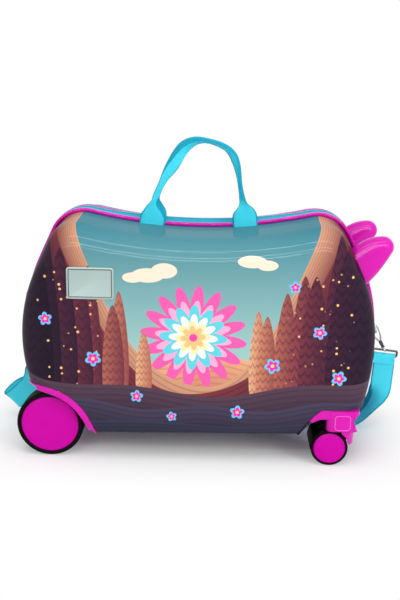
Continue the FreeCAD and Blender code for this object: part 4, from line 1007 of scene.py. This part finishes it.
RIM_SECTION = round_corners([(0.1, 21.0), (4.6, 21.0), (4.6, 13.0), (-3.5, 13.0), (-3.5, 15.8), (0.1, 15.8)], 1.7, 4)
near_rim = band("near_rim_trim", RIM_SECTION, outline, True)
smooth(near_rim, 40.0)
far_rim = far_copy(near_rim, "far_rim_trim")
for half, rim in (("near", near_rim), ("far", far_rim)):
    dress(rim, f"{half}_half", "pink_plastic", pink_gloss, stands_for=[f"{half}_rim"])

ZIP_END = 62.0
zip_run = [s for s in outline if s[0].y > ZIP_END]
low_run = [s for s in outline if s[0].y < ZIP_END - 1]
start = next(i for i in range(len(low_run)) if (low_run[i][0] - low_run[i - 1][0]).length > 50)
low_run = low_run[start:] + low_run[:start]
TAPE_SECTION = round_corners([(2.0, 12.8), (4.0, 12.8), (4.0, 8.6), (4.0, 4.4), (4.0, 0.2), (2.0, 0.2), (2.0, 4.4),
                              (2.0, 8.6)], 0.5, 2)
near_tape = band("near_zip_cloth", TAPE_SECTION, zip_run, False, bulge=True)
near_strip = band("near_hinge_cloth", TAPE_SECTION, low_run, False)
for half, make in (("near", None), ("far", far_copy)):
    for piece, kind, node in ((near_tape, "zip_cloth", "zip_tape"), (near_strip, "hinge_cloth", "hinge_strip")):
        smooth(piece, 40.0)
        band_piece = make(piece, f"far_{kind}") if make else piece
        dress(band_piece, f"{half}_half", "turquoise_webbing", zip_cloth, stands_for=[f"{half}_{node}"])
print("rim", len(near_rim.data.polygons), "faces, zip run of", len(zip_run), "stations")

# %% [markdown]
# ## Coil teeth
# Each half of the zip carries a row of small teeth. One tooth is a bevelled cube, modelled once, and
# copied every two millimetres along the run, because a texture alone would leave the edge smooth.

# %% Coil teeth


def zip_teeth(name, pitch=2.0):
    """One small tooth, modelled once and copied along the zip's run."""
    bpy.ops.object.select_all(action="DESELECT")
    bpy.ops.mesh.primitive_cube_add(size=1.0)
    tooth = bpy.context.object
    tooth.data.transform(Matrix.Diagonal((1.35, 2.9, 1.5, 1.0)))
    apply_modifier(tooth, "BEVEL", width=0.38, segments=1)
    line = [p for p, n in zip_run]
    run = [0.0]
    for one, two in zip(line, line[1:]):
        run.append(run[-1] + (two - one).length)
    whole = bmesh.new()
    place, k = pitch, 0
    while place < run[-1] - pitch:
        while run[k + 1] < place:
            k += 1
        t = (place - run[k]) / (run[k + 1] - run[k])
        p = line[k].lerp(line[k + 1], t)
        n = zip_run[k][1].lerp(zip_run[k + 1][1], t).normalized()
        first = len(whole.verts)
        whole.from_mesh(tooth.data)
        whole.verts.ensure_lookup_table()
        for vertex in whole.verts[first:]:
            a, b, c = vertex.co
            g = 4.35 + c + (saddle_bulge(p.x, 1.75) if p.y > 200 else 0.0)
            vertex.co = Vector((p.x + n.x * g + n.y * a, b - 1.75, p.y + n.y * g - n.x * a)) * MM
        place += pitch
    mesh = bpy.data.meshes.new(name)
    whole.to_mesh(mesh)
    whole.free()
    bpy.data.objects.remove(tooth)
    piece = bpy.data.objects.new(name, mesh)
    bpy.context.collection.objects.link(piece)
    return piece


near_teeth = zip_teeth("near_zip_teeth")
far_teeth = far_copy(near_teeth, "far_zip_teeth")
for half, teeth in (("near", near_teeth), ("far", far_teeth)):
    dress(teeth, f"{half}_half", "turquoise_webbing", zip_plastic)
print("teeth", len(near_teeth.data.polygons), "faces a side")

# %% [markdown]
# ## Wheels
# Each wheel is a pink disc in a black tyre. Both are turned shapes, so a circle is extruded through
# a profile of (radius, along the axle) pairs whose corners are eased first. The disc has a faint
# dish and a fine groove, as a moulded cap has.

# %% Turned pieces


def turned(name, profile, centre, way, count=96, ease=0.7, steps=3):
    """Turn a closed profile of (radius, along) pairs in millimetres about an axle."""
    eased = round_corners(profile, ease, steps)
    side = Vector((1, 0, 0))
    if abs(Vector(way).z) > 0.5:
        up = Vector((0, 1, 0))
    else:
        up = Vector((0, 0, 1))
    rings = []
    for radius, along in eased:
        middle = Vector(centre) + Vector(way) * along
        radius = max(radius, 0.0)
        rings.append([(middle + side * (radius * math.cos(2 * math.pi * k / count))
                       + up * (radius * math.sin(2 * math.pi * k / count))) * MM for k in range(count)])
    piece = skin(name, rings, closed=True)
    smooth(piece, 35.0)
    return piece


def wheel(name, x, z, inner, width, radius, disc_r, bore, way):
    """Hub and tyre of one wheel; inner is how far out the wheel's inner face lies."""
    face = inner + width
    hub = turned(f"{name}_disc", [
        (bore, inner + 0.5), (disc_r - 0.2, inner + 0.5), (disc_r - 0.1, face - 1.6), (disc_r - 2.2, face - 0.4),
        (disc_r - 3.0, face - 0.9), (disc_r - 3.8, face - 0.3), (disc_r * 0.45, face + 0.7), (0.0, face + 1.0),
        (0.0, face - 5.0), (bore, face - 5.0)], (x, 0, z), way, ease=0.45)
    tyre = turned(f"{name}_tread", [
        (disc_r + 0.1, inner + 0.3), (radius - 0.3, inner + 0.3), (radius, inner + width * 0.3),
        (radius, face - 2.2), (radius - 1.4, face - 0.2), (disc_r + 0.1, face - 0.4)],
        (x, 0, z), way, ease=1.4, steps=4)
    return hub, tyre


for half, sign in (("near", -1), ("far", 1)):
    hub, tyre = wheel(f"{half}_rear", -187.0, 42.5, 64.0, 30.0, 42.5, 36.9, 5.05, (0, sign, 0))
    body = f"{half}_rear_wheel"
    dress(hub, body, "pink_plastic", pink_satin, stands_for=[f"{body}_hub"])
    dress(tyre, body, "black_rubber", rubber, stands_for=[f"{body}_tyre"])
    for which, facing in (("outer", 1), ("inner", -1)):
        x, out = 169.5, sign * 79.0
        label = f"{half}_caster_{which}"
        hub, tyre = wheel(label, x, 23.4, 9.0, 14.0, 23.4, 20.3, 3.05, (0, sign * facing, 0))
        body = f"{label}_wheel"
        for piece, material, slot, node in ((hub, pink_satin, "pink_plastic", "hub"),
                                            (tyre, rubber, "black_rubber", "tyre")):
            piece.data.transform(Matrix.Translation((0, out * MM, 0)))
            dress(piece, body, slot, material, stands_for=[f"{body}_{node}"])
print("six wheels turned")

# %% [markdown]
# ## Grip horns
# Two pink horns stand on the front slope for the rider's hands. Each is a soft petal: its outline
# is swelled over its middle line, as if blown up, and the part inside the case is cut away.

# %% Petal horns
HORN_TIP_R, HORN_BACK_R = 13.0, 50.0


def horn_outline():
    """Side view of the petal: back, round tip and under side, down to a line inside the case."""
    tip = Vector((226.5, 276.0))
    back = Vector((226.5, 276.0 + HORN_TIP_R - HORN_BACK_R))
    points = []
    for k in range(15):
        a = math.radians(136 - 46 * k / 14)
        points.append(back + Vector((math.cos(a), math.sin(a))) * HORN_BACK_R)
    for k in range(1, 25):
        a = math.radians(90 - 127 * k / 24)
        points.append(tip + Vector((math.cos(a), math.sin(a))) * HORN_TIP_R)
    lean = math.radians(-37)
    under = Vector((math.sin(lean), -math.cos(lean)))
    outward = Vector((math.cos(lean), math.sin(lean)))
    for k in range(1, 13):
        points.append(points[38] + under * (60 * k / 12) + outward * (2.8 * math.sin(math.pi * k / 12)))
    start = points[0]
    inward = Vector((-math.sin(math.radians(136)), math.cos(math.radians(136))))
    lead = [start + inward * (14 * k / 4) for k in range(4, 0, -1)]
    points = lead + points
    low, high = points[-1], points[0]
    points += [low.lerp(high, k / 8) for k in range(1, 8)]
    return points


def make_horn():
    edge = horn_outline()
    root = Vector((184.0, 236.0))
    crown = Vector((224.5, 272.5))
    way = (crown - root).normalized()
    span = (crown - root).length
    rings = []
    for k in range(-12, 13):
        a = math.pi / 2 * k / 12.6
        spread = math.cos(a) ** 0.62
        out = 62.0 + 13.0 * math.copysign(abs(math.sin(a)) ** 0.86, a)
        ring = []
        for p in edge:
            spine = root + way * min(max((p - root).dot(way), 0.0), span)
            q = spine + (p - spine) * spread
            ring.append(Vector((q.x, -out, q.y)) * MM)
        rings.append(ring)
    horn = skin("near_grip_horn", rings)
    plug = hull_skin("hull_plug", 0.05, closed=True)
    take_away(horn, plug)
    smooth(horn, 50.0)
    return horn


near_horn = make_horn()
far_horn = far_copy(near_horn, "far_grip_horn")
for half, horn in (("near", near_horn), ("far", far_horn)):
    dress(horn, f"{half}_half", "pink_plastic", pink_gloss, stands_for=[f"{half}_horn"])
print("horn has", len(near_horn.data.polygons), "faces")

# %% [markdown]
# ## Moulded trim and caster parts
# The wheel arches, corner brackets and caster parts already have the right shape as solids, but
# their edges are knife sharp. A copy of each is merged, its flat faces are joined up, and its sharp
# edges are bevelled, so that they catch the light as moulded edges do.

# %% Eased copies of the solids


def merged_copy(node):
    """A copy of a node whose triangles are joined up."""
    piece = bpy.data.objects.new(f"{node}_eased", nodes[node].data.copy())
    bpy.context.collection.objects.link(piece)
    alone(piece)
    bpy.ops.object.mode_set(mode="EDIT")
    bpy.ops.mesh.select_all(action="SELECT")
    bpy.ops.mesh.remove_doubles(threshold=2e-6)
    bpy.ops.object.mode_set(mode="OBJECT")
    return piece


def eased_copy(node, width, body, slot, *materials, shape=None, edge_slot=-1):
    """Stand an eased copy in for a rigid node; shape may change the copy before its edges are eased."""
    piece = merged_copy(node)
    if shape:
        shape(piece)
    dress(piece, body, slot, *materials, stands_for=[node])
    alone(piece)
    bpy.ops.object.mode_set(mode="EDIT")
    bpy.ops.mesh.select_all(action="SELECT")
    bpy.ops.mesh.dissolve_limited(angle_limit=math.radians(1.0))
    bpy.ops.mesh.select_all(action="DESELECT")
    bpy.ops.mesh.select_mode(type="EDGE")
    bpy.ops.mesh.edges_select_sharp(sharpness=math.radians(32.0))
    bpy.ops.mesh.bevel(offset=width * MM, segments=2, profile=0.5, clamp_overlap=True, material=edge_slot)
    bpy.ops.mesh.select_mode(type="VERT")
    bpy.ops.object.mode_set(mode="OBJECT")
    smooth(piece, 38.0)
    return piece


def lean_nose(piece):
    """Slope the nose of a swivel block back towards its top, and cut the corner above it back to meet it."""
    nose = side_prism("nose_cutter", [(209.5, 75.9), (197.0, 64.0), (203.4, 46.0), (240.0, 46.0), (240.0, 75.9)], 30.0, 120.0)
    if sum(v.co.y for v in piece.data.vertices) > 0:
        nose.data.transform(Matrix.Scale(-1, 4, (0, 1, 0)))
        nose.data.flip_normals()
    take_away(piece, nose)


def hug_wheels(piece):
    """Draw the guard of a caster in until it lies close round its tyres."""
    for vertex in piece.data.vertices:
        arm = Vector((vertex.co.x - 0.1695, 0, vertex.co.z - 0.0234))
        if arm.length > 0.0246 and vertex.co.x < 0.1765 and vertex.co.z < 0.0465:
            close = arm.normalized() * (0.0238 + (arm.length - 0.0247) * 0.4)
            vertex.co.x, vertex.co.z = 0.1695 + close.x, 0.0234 + close.z


def darken_tail(piece):
    """Give the lower end of a corner bracket the print outside and black inside."""
    alone(piece)
    bpy.ops.object.mode_set(mode="EDIT")
    bpy.ops.mesh.select_all(action="SELECT")
    bpy.ops.mesh.bisect(plane_co=(0.1425, 0, 0.0615), plane_no=(0.55, 0, 0.83))
    bpy.ops.object.mode_set(mode="OBJECT")
    for face in piece.data.polygons:
        if (face.center - Vector((0.1425, 0, 0.0615))).dot(Vector((0.55, 0, 0.83))) < 0:
            face.material_index = 1 if abs(face.normal.y) > 0.6 and abs(face.center.y) > 0.08 else 2


for half in ("near", "far"):
    body = f"{half}_half"
    eased_copy(f"{half}_rear_housing", 0.9, body, "pink_plastic", pink_gloss)
    # The bracket's bevel faces take the lighter pink, a painted highlight along its edges.
    bracket = eased_copy(f"{half}_front_bracket", 0.9, body, "pink_plastic", pink_gloss, film, nylon, pink_painted_highlight,
                         shape=lean_nose, edge_slot=3)
    darken_tail(bracket)
    eased_copy(f"{half}_caster_socket", 0.5, body, "black_plastic", nylon)
    eased_copy(f"{half}_rear_axle", 0.4, body, "steel", steel)
    caster = f"{half}_caster"
    eased_copy(f"{half}_caster_fork", 0.4, caster, "black_plastic", nylon, shape=hug_wheels)
    eased_copy(f"{half}_caster_crown", 0.8, caster, "pink_plastic", pink_gloss)
    eased_copy(f"{half}_caster_stem", 0.4, caster, "steel", steel)
    eased_copy(f"{half}_caster_axle", 0.3, caster, "steel", steel)
eased_copy("packing_buckles", 0.7, "far_half", "black_plastic", nylon)
for which in ("upper", "lower"):
    eased_copy(f"{which}_zip_slider", 0.4, f"{which}_slider", "nickel_hardware", bright_metal)
    eased_copy(f"{which}_zip_slider_pull", 0.3, f"{which}_pull", "nickel_hardware", bright_metal)
print("eased copies made")

# %% [markdown]
# ## Carry handle
# The handle is one length of turquoise tape. It is sewn flat to the near rim, draws in above each
# foot, and is folded double along the grip, where it turns on itself as soft tape does. One spline
# carries its line and another its turn, width, thickness and fold.

# %% Handle loop and feet
HANDLE_REAR, HANDLE_FRONT, FOLD_Z, HANDLE_OUT = -64.0, 58.0, 302.5, 22.7
HANDLE_STEPS = [
    # share of span, share of rise, turn, width, thickness, inner crease, outer crease
    (0.0, -0.147, 0, 31.0, 2.8, -0.445, 0.445),
    (0.012, -0.085, 0, 32.0, 2.8, -0.445, 0.445),
    (0.03, -0.025, 0, 34.0, 3.0, -0.44, 0.44),
    (0.043, 0.035, 0, 31.0, 3.0, -0.33, 0.44),
    (0.047, 0.08, 0, 28.0, 3.2, -0.2, 0.44),
    (0.05, 0.128, 0, 22.5, 3.6, -0.08, 0.44),
    (0.054, 0.172, 0, 15.5, 4.2, -0.02, 0.44),
    (0.055, 0.217, 5, 10.0, 4.8, -0.12, 0.44),
    (0.06, 0.27, 10, 9.0, 4.8, -0.36, 0.44),
    (0.095, 0.37, 10, 8.0, 4.8, -0.44, 0.44),
    (0.14, 0.49, 5, 9.8, 4.6, -0.44, 0.42),
    (0.19, 0.595, 0, 14.8, 4.4, -0.44, 0.34),
    (0.238, 0.69, 0, 17.0, 4.4, -0.44, 0.24),
    (0.29, 0.80, 15, 16.4, 4.4, -0.44, 0.2),
    (0.34, 0.885, 30, 15.8, 4.4, -0.44, 0.18),
    (0.41, 0.95, 50, 14.5, 4.2, -0.44, 0.2),
    (0.475, 0.983, 60, 13.2, 4.0, -0.42, 0.28),
    (0.54, 0.99, 67, 12.6, 4.0, -0.34, 0.4),
    (0.60, 0.98, 70, 12.6, 4.0, -0.24, 0.44),
    (0.665, 0.957, 64, 13.0, 4.0, -0.16, 0.44),
    (0.735, 0.92, 58, 13.4, 4.2, -0.12, 0.44),
    (0.80, 0.868, 50, 14.0, 4.4, -0.12, 0.44),
    (0.85, 0.79, 42, 14.6, 4.4, -0.14, 0.44),
    (0.88, 0.69, 50, 14.4, 4.5, -0.18, 0.44),
    (0.905, 0.58, 68, 13.0, 4.5, -0.22, 0.44),
    (0.922, 0.47, 80, 11.0, 4.6, -0.28, 0.44),
    (0.939, 0.35, 78, 8.6, 4.8, -0.34, 0.44),
    (0.952, 0.265, 60, 7.2, 5.0, -0.42, 0.44),
    (0.963, 0.205, 30, 8.0, 4.8, -0.44, 0.44),
    (0.972, 0.15, 6, 15.0, 4.0, -0.44, 0.44),
    (0.981, 0.10, 0, 25.0, 3.4, -0.44, 0.44),
    (0.985, 0.05, 0, 31.0, 3.0, -0.44, 0.44),
    (0.991, -0.04, 0, 32.5, 3.0, -0.44, 0.44),
    (1.0, -0.147, 0, 31.5, 2.8, -0.44, 0.44),
]
HANDLE_RISE = 97.0


def turned_wides(line, turns):
    """Directions of a tape's width: in the side view, then turned about the line by an angle."""
    wides = []
    for i, turn in enumerate(turns):
        way = (line[min(i + 1, len(line) - 1)] - line[max(i - 1, 0)]).normalized()
        wide = way.cross(Vector((0, 1, 0)))
        wide.rotate(Quaternion(way, math.radians(turn)))
        wides.append(wide)
    return wides


span = HANDLE_FRONT - HANDLE_REAR
handle_route = [Vector((HANDLE_REAR + span * u, -HANDLE_OUT, FOLD_Z + HANDLE_RISE * v)) * MM
                for u, v, *rest in HANDLE_STEPS]
handle_line = spline_points(handle_route, 6)
turn_wide = spline_points([Vector(step[2:5]) for step in HANDLE_STEPS], 6)
handle_creases = [(v.x, v.y) for v in spline_points([Vector((*step[5:7], 0)) for step in HANDLE_STEPS], 6)]
# Beyond its creases the tape takes the painted crease shade, so each fold shows a darker band.
handle = skin(
    "carry_handle_tape",
    tape_rings(handle_line, turned_wides(handle_line, [v.x for v in turn_wide]), [v.y * MM for v in turn_wide],
               [v.z * MM for v in turn_wide], handle_creases),
    along=lengths(handle_line),
    across=tape_across(0.031),
    turned=TURNED,
)
smooth(handle, 50.0)
handle.data.materials.append(handle_tape)
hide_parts("carry_handle", "handle_patches")
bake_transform(handle)
print("handle", round(lengths(handle_line)[-1], 3), "m")

# %% [markdown]
# ## Rings and snap hook
# The tow rings, the strap's ring and the hook are bent from round wire. A small circle is carried
# along each wire's line. The hook also has a turned barrel that swivels under it, and a thin gate.
# The same helper lays the fine bead round the raised square of each swivel block.

# %% Wire pieces


def wire(name, line, radius, plane, closed, count=10):
    """Carry a circle along a line that lies in a plane with the given normal."""
    normal = Vector(plane).normalized()
    rings = []
    last = len(line) - 1
    for i, place in enumerate(line):
        if closed:
            way = line[(i + 1) % len(line)] - line[i - 1]
        else:
            way = line[min(i + 1, last)] - line[max(i - 1, 0)]
        out = way.normalized().cross(normal)
        rings.append([place + (out * math.cos(2 * math.pi * k / count) + normal * math.sin(2 * math.pi * k / count))
                      * radius for k in range(count)])
    piece = skin(name, rings, closed=closed)
    smooth(piece, 50.0)
    return piece


def bent_frame(top, down, across, width, drop, corner=4.0):
    """Corner-rounded rectangle of wire that hangs from its top bar."""
    flat = [(-width / 2, 0), (width / 2, 0), (width / 2, drop), (-width / 2, drop)]
    return [(Vector(top) + Vector(across) * a + Vector(down) * b) * MM for a, b in round_corners(flat, corner, 5)]


def tow_ring(end, bar_x, height, name):
    tilt = math.radians(20)
    down = Vector((end * math.sin(tilt), 0, -math.cos(tilt)))
    across = Vector((0, 1, 0))
    line = bent_frame((end * bar_x, 33.0, height), down, across, 35.6, 16.0)
    ring = wire(f"{name}_wire", line, 1.75 * MM, down.cross(across), True)
    return dress(ring, "far_half", "nickel_hardware", bright_metal, stands_for=[name])


# The bead is real, but it is dressed in the lighter pink of the painted highlight, so it draws a painted highlight line
# round the raised square.
bead_line = bent_frame((183.5, -107.8, 70.0), (0, 0, -1), (1, 0, 0), 19.0, 19.0, 4.4)
near_bead = wire("near_block_bead", bead_line, 0.6 * MM, (0, 1, 0), True, 8)
for half, bead in (("near", near_bead), ("far", far_copy(near_bead, "far_block_bead"))):
    dress(bead, f"{half}_half", "pink_plastic", pink_painted_highlight)
tow_ring(1, 234.28, 158.0, "front_tow_ring")
tow_ring(-1, 231.68, 122.0, "rear_tow_ring")
ring_line = bent_frame((256.0, 33.0, 113.0), (0, 0, -1), (1, 0, 0), 34.0, 8.0, 2.6)
strap_ring = wire("strap_ring_wire", ring_line, 1.5 * MM, (0, 1, 0), True)
strap_ring.data.transform(Matrix.Translation((0.256, 0.033, 0.105)) @ RING_TILT @ Matrix.Translation((-0.256, -0.033, -0.105)))
dress(strap_ring, "far_half", "nickel_hardware", dark_metal, stands_for=["strap_ring"])

hook_bar = Vector((239.75, 33.0, 142.96))
ring_bar = Vector((256.0, 33.0, 113.0))
down = (ring_bar - hook_bar).normalized()
side = Vector((0, 1, 0)).cross(down)
side = side if side.x > 0 else -side
reach = (ring_bar - hook_bar).length


def at_hook(x, z):
    """A place beside the hook's own line: x to its open side, z down from the ring that it holds."""
    return (hook_bar + side * x + down * z) * MM


arc_line = [at_hook(4.9 * math.cos(math.radians(a)), -4.9 * math.sin(math.radians(a))) for a in range(12, 181, 12)]
hook_line = arc_line + [at_hook(-4.7, 6.0), at_hook(-3.9, 12.0), at_hook(-2.2, 17.0), at_hook(-0.8, 20.5)]
hook = wire("snap_hook_wire", hook_line, 1.35 * MM, (0, 1, 0), False)
dress(hook, "far_half", "nickel_hardware", bright_metal, stands_for=["snap_hook"])
gate_line = [at_hook(5.0, -0.8), at_hook(5.0, 3.0), at_hook(4.8, 7.0), at_hook(4.2, 10.6)]
gate = wire("snap_gate_wire", gate_line, 1.0 * MM, (0, 1, 0), False)
dress(gate, "snap_gate", "nickel_hardware", bright_metal, stands_for=["snap_gate"])
lower_line = [at_hook(4.2, 11.0), at_hook(3.2, 14.5), at_hook(1.6, 18.0), at_hook(0.6, 20.5)]
hook_leg = wire("snap_hook_leg", lower_line, 1.3 * MM, (0, 1, 0), False)
dress(hook_leg, "far_half", "nickel_hardware", bright_metal)
barrel_rings = []
for radius, z in ((1.4, 18.4), (2.2, 18.8), (2.5, 20.0), (2.5, 25.2), (2.1, 26.2), (1.7, 26.6), (1.7, 27.6), (2.6, 28.0),
                  (2.6, 29.4), (1.4, 29.9)):
    middle = at_hook(0, z)
    barrel_rings.append([middle + (side * math.cos(math.pi * k / 10) + Vector((0, 1, 0)) * math.sin(math.pi * k / 10))
                         * radius * MM for k in range(20)])
barrel = skin("snap_hook_barrel", barrel_rings)
smooth(barrel, 40.0)
dress(barrel, "far_half", "nickel_hardware", dark_metal)
eye_line = [(ring_bar + (down * math.cos(math.radians(a)) + Vector((0, 1, 0)) * math.sin(math.radians(a))) * 3.4
             - down * 1.6) * MM for a in range(0, 360, 20)]
eye = wire("snap_hook_eye", eye_line, 1.05 * MM, side, True, 8)
dress(eye, "far_half", "nickel_hardware", bright_metal)
print("hook reach", round(reach, 1), "mm")

# %% [markdown]
# ## Tow tabs and packing straps
# A short tab of tape holds each tow ring to the case, folded round the ring's top bar. Inside the
# far half two black straps hold the clothes down.

# %% Tabs and inner straps


def tow_tab(end, bar_x, height, name):
    """Tape sewn to the end of the shell, brought out and folded round a ring's top bar."""
    r = 3.0
    line = [Vector((end * (bar_x - 9.2), 33.0, height + 18.0)), Vector((end * (bar_x - 7.6), 33.0, height + 9.0)),
            Vector((end * (bar_x - 4.6), 33.0, height + 4.6))]
    for k in range(9):
        a = math.radians(130 - 230 * k / 8)
        line.append(Vector((end * (bar_x + r * math.cos(a)), 33.0, height + r * math.sin(a))))
    line.append(Vector((end * (bar_x - 5.4), 33.0, height - 2.8)))
    line.append(Vector((end * (bar_x - 8.3), 33.0, height - 2.4)))
    wide = Vector((0, 1, 0))
    rings = []
    for i, place in enumerate(line):
        way = (line[min(i + 1, len(line) - 1)] - line[max(i - 1, 0)]).normalized()
        through = way.cross(wide).normalized()
        rings.append([(place + wide * a + through * b) * MM for a, b in tape_section(22.0, 1.6)])
    tab = skin(f"{name}_tape", rings, along=lengths([p * MM for p in line]), across=tape_across(0.022))
    smooth(tab, 50.0)
    return dress(tab, "far_half", "turquoise_webbing", strap_tape, stands_for=[name])


tow_tab(1, 234.28, 158.0, "front_tow_tab")
tow_tab(-1, 231.68, 122.0, "rear_tow_tab")
for number, x in enumerate((-62.0, 62.0)):
    line = [Vector((x, 100.6, 62.0 + 189.0 * k / 24)) * MM for k in range(25)]
    rings = []
    for place in line:
        rings.append([place + Vector((a, b, 0)) for a, b in tape_section(0.025, 0.0014)])
    inner = skin(f"packing_strap_{number}", rings, along=lengths(line), across=tape_across(0.025))
    smooth(inner, 50.0)
    dress(inner, "far_half", "black_webbing", black_tape)
    if number == 0:
        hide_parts("packing_straps")
print("tabs and packing straps made")

# %% [markdown]
# ## Plain plate
# A small silver plate sits on the near side, near the rear peak. It is left bare: a rounded plate
# with a raised border, inset once and pressed in.

# %% Bare plate


def bare_plate():
    bpy.ops.object.select_all(action="DESELECT")
    bpy.ops.mesh.primitive_cube_add(size=1.0)
    plate = bpy.context.object
    plate.name = plate.data.name = "bare_plate"
    plate.data.transform(Matrix.Translation((-0.1297, -0.10455, 0.2318)) @ Matrix.Diagonal((0.0575, 0.0013, 0.0392, 1)))
    bpy.ops.object.mode_set(mode="EDIT")
    bpy.ops.mesh.select_all(action="DESELECT")
    bpy.ops.mesh.select_mode(type="EDGE")
    mesh = bmesh.from_edit_mesh(plate.data)
    for edge in mesh.edges:
        if abs(edge.verts[0].co.y - edge.verts[1].co.y) > 0.0005:
            edge.select = True
    bpy.ops.mesh.bevel(offset=0.0036, segments=6)
    bpy.ops.mesh.select_mode(type="FACE")
    bpy.ops.mesh.select_all(action="DESELECT")
    mesh = bmesh.from_edit_mesh(plate.data)
    for face in mesh.faces:
        face.select = face.normal.y < -0.9
    bpy.ops.mesh.inset(thickness=0.0005, depth=0.0002)
    bpy.ops.mesh.inset(thickness=0.0015, depth=0.0)
    bpy.ops.mesh.inset(thickness=0.0011, depth=-0.0003)
    bpy.ops.mesh.select_mode(type="VERT")
    bpy.ops.object.mode_set(mode="OBJECT")
    for face in plate.data.polygons:
        inset = min(0.02875 - abs(face.center.x + 0.1297), 0.0196 - abs(face.center.z - 0.2318))
        face.material_index = int(0.0021 < inset < 0.0030)
    smooth(plate, 25.0)
    return plate


def brushed_plate():
    """Grey metal, brushed along its length."""
    material, tree, shader = new_finish("brushed_plate_metal", metallic=0.25, specular_ior_level=0.2)
    where = put(tree, "TexCoord").outputs["Object"]
    lines = put(tree, "Mapping", {"Vector": where, "Scale": (30.0, 30.0, 2600.0)})
    streak = put(tree, "TexNoise", {"Vector": lines.outputs[0], "Scale": 1.0, "Detail": 2.0}).outputs[0]
    tone = blend_colours(tree, streak, screen(152, 172, 168), screen(170, 188, 184))
    rough = sums(tree, "MULTIPLY_ADD", streak, 0.18, 0.34)
    feed(tree, shader, tone, rough, streak, 0.00002, 0.3)
    return material


plate = bare_plate()
dress(plate, "near_half", "nickel_hardware", brushed_plate(), dark_metal)
print("plate", len(plate.data.polygons), "faces")

# %% [markdown]
# ## Floor and light
# The case stands on a pale floor in a white room. The floor keeps the case's soft shadow, and a
# share of plain white is added to it for the camera, so that it melts into the background. That
# white share is nil over the case's footprint and grows to full within 13 cm of it: a painted
# fade that sets how far the rendered shadow reaches.

# %% Floor, world and lamps


def pale_floor():
    bpy.ops.object.select_all(action="DESELECT")
    bpy.ops.mesh.primitive_plane_add(size=14.0)
    floor = bpy.context.object
    floor.name = "pale_floor"
    material = bpy.data.materials.new("pale_floor")
    material.use_nodes = True
    tree = material.node_tree
    tree.nodes.clear()
    ray = put(tree, "LightPath").outputs
    seen = sums(tree, "MAXIMUM", ray["Is Camera Ray"], sums(tree, "MAXIMUM", ray["Is Glossy Ray"],
                                                            ray["Is Transmission Ray"]))
    matt = put(tree, "BsdfDiffuse", {"Color": (0.92, 0.92, 0.92, 1)})
    white = put(tree, "Emission", {"Color": (1, 1, 1, 1), "Strength": 1.0})
    where = put(tree, "TexCoord").outputs["Object"]
    aside = put(tree, "VectorMath", {0: where}, operation="ABSOLUTE").outputs[0]
    beyond = put(tree, "VectorMath", {0: aside, 1: (0.20, 0.05, 0.0)}, operation="SUBTRACT").outputs[0]
    outside = put(tree, "VectorMath", {0: beyond, 1: (0.0, 0.0, 0.0)}, operation="MAXIMUM").outputs[0]
    away = put(tree, "VectorMath", {0: outside}, operation="LENGTH").outputs["Value"]
    # Painted shadow fade: no white over the footprint, full white 13 cm beyond it, so this mask cuts the rendered
    # shadow short.
    painted_shadow_fade = put(tree, "MapRange", {"Value": away, "From Min": 0.0, "From Max": 0.13, "To Min": 0.0, "To Max": 1.0}
                      ).outputs[0]
    share = sums(tree, "MULTIPLY", seen, painted_shadow_fade)
    mixed = put(tree, "MixShader", {0: share, 1: matt.outputs[0], 2: white.outputs[0]})
    end = put(tree, "OutputMaterial")
    tree.links.new(mixed.outputs[0], end.inputs[0])
    floor.data.materials.append(material)
    return floor


def white_room(strength):
    world = bpy.data.worlds.new("white_room")
    bpy.context.scene.world = world
    world.use_nodes = True
    tree = world.node_tree
    tree.nodes.clear()
    ray = put(tree, "LightPath").outputs
    seen = sums(tree, "MAXIMUM", ray["Is Camera Ray"], sums(tree, "MAXIMUM", ray["Is Glossy Ray"],
                                                            ray["Is Transmission Ray"]))
    lit = put(tree, "Background", {"Color": (1, 1, 1, 1), "Strength": strength})
    shown = put(tree, "Background", {"Color": (1, 1, 1, 1), "Strength": 1.0})
    mixed = put(tree, "MixShader", {0: seen, 1: lit.outputs[0], 2: shown.outputs[0]})
    end = put(tree, "OutputWorld")
    tree.links.new(mixed.outputs[0], end.inputs[0])


def lamp(name, place, target, size, power, width=None):
    """An area lamp: a square one lights the case without a shine, and a thin strip leaves only its shine."""
    bpy.ops.object.light_add(type="AREA", location=place)
    light = bpy.context.object
    light.name = name
    if width:
        light.data.shape = "RECTANGLE"
        light.data.size_y = width
    light.data.size = size
    light.data.energy = power
    light.visible_glossy = bool(width)
    light.visible_diffuse = not width
    light.rotation_euler = (Vector(target) - Vector(place)).to_track_quat("-Z", "Y").to_euler()


pale_floor()
white_room(0.42)
lamp("top_softbox", (0.0, -0.3, 2.2), (0, 0, 0.1), 1.8, 25)
lamp("front_softbox", (-0.9, -2.2, 1.3), (0, 0, 0.15), 1.4, 15)
lamp("right_softbox", (1.6, -1.5, 0.8), (0.15, 0, 0.12), 1.2, 24)
for name, rise in (("upper_strip", 55), ("middle_strip", 24), ("lower_strip", 11)):
    turn = math.radians(rise)
    lamp(name, (0.0, -0.1 - 2.0 * math.cos(turn), 0.28 + 2.0 * math.sin(turn)), (0, -0.1, 0.28), 2.8, 18, width=0.09)
bpy.context.scene.view_settings.view_transform = "Standard"
print("floor and lamps placed")
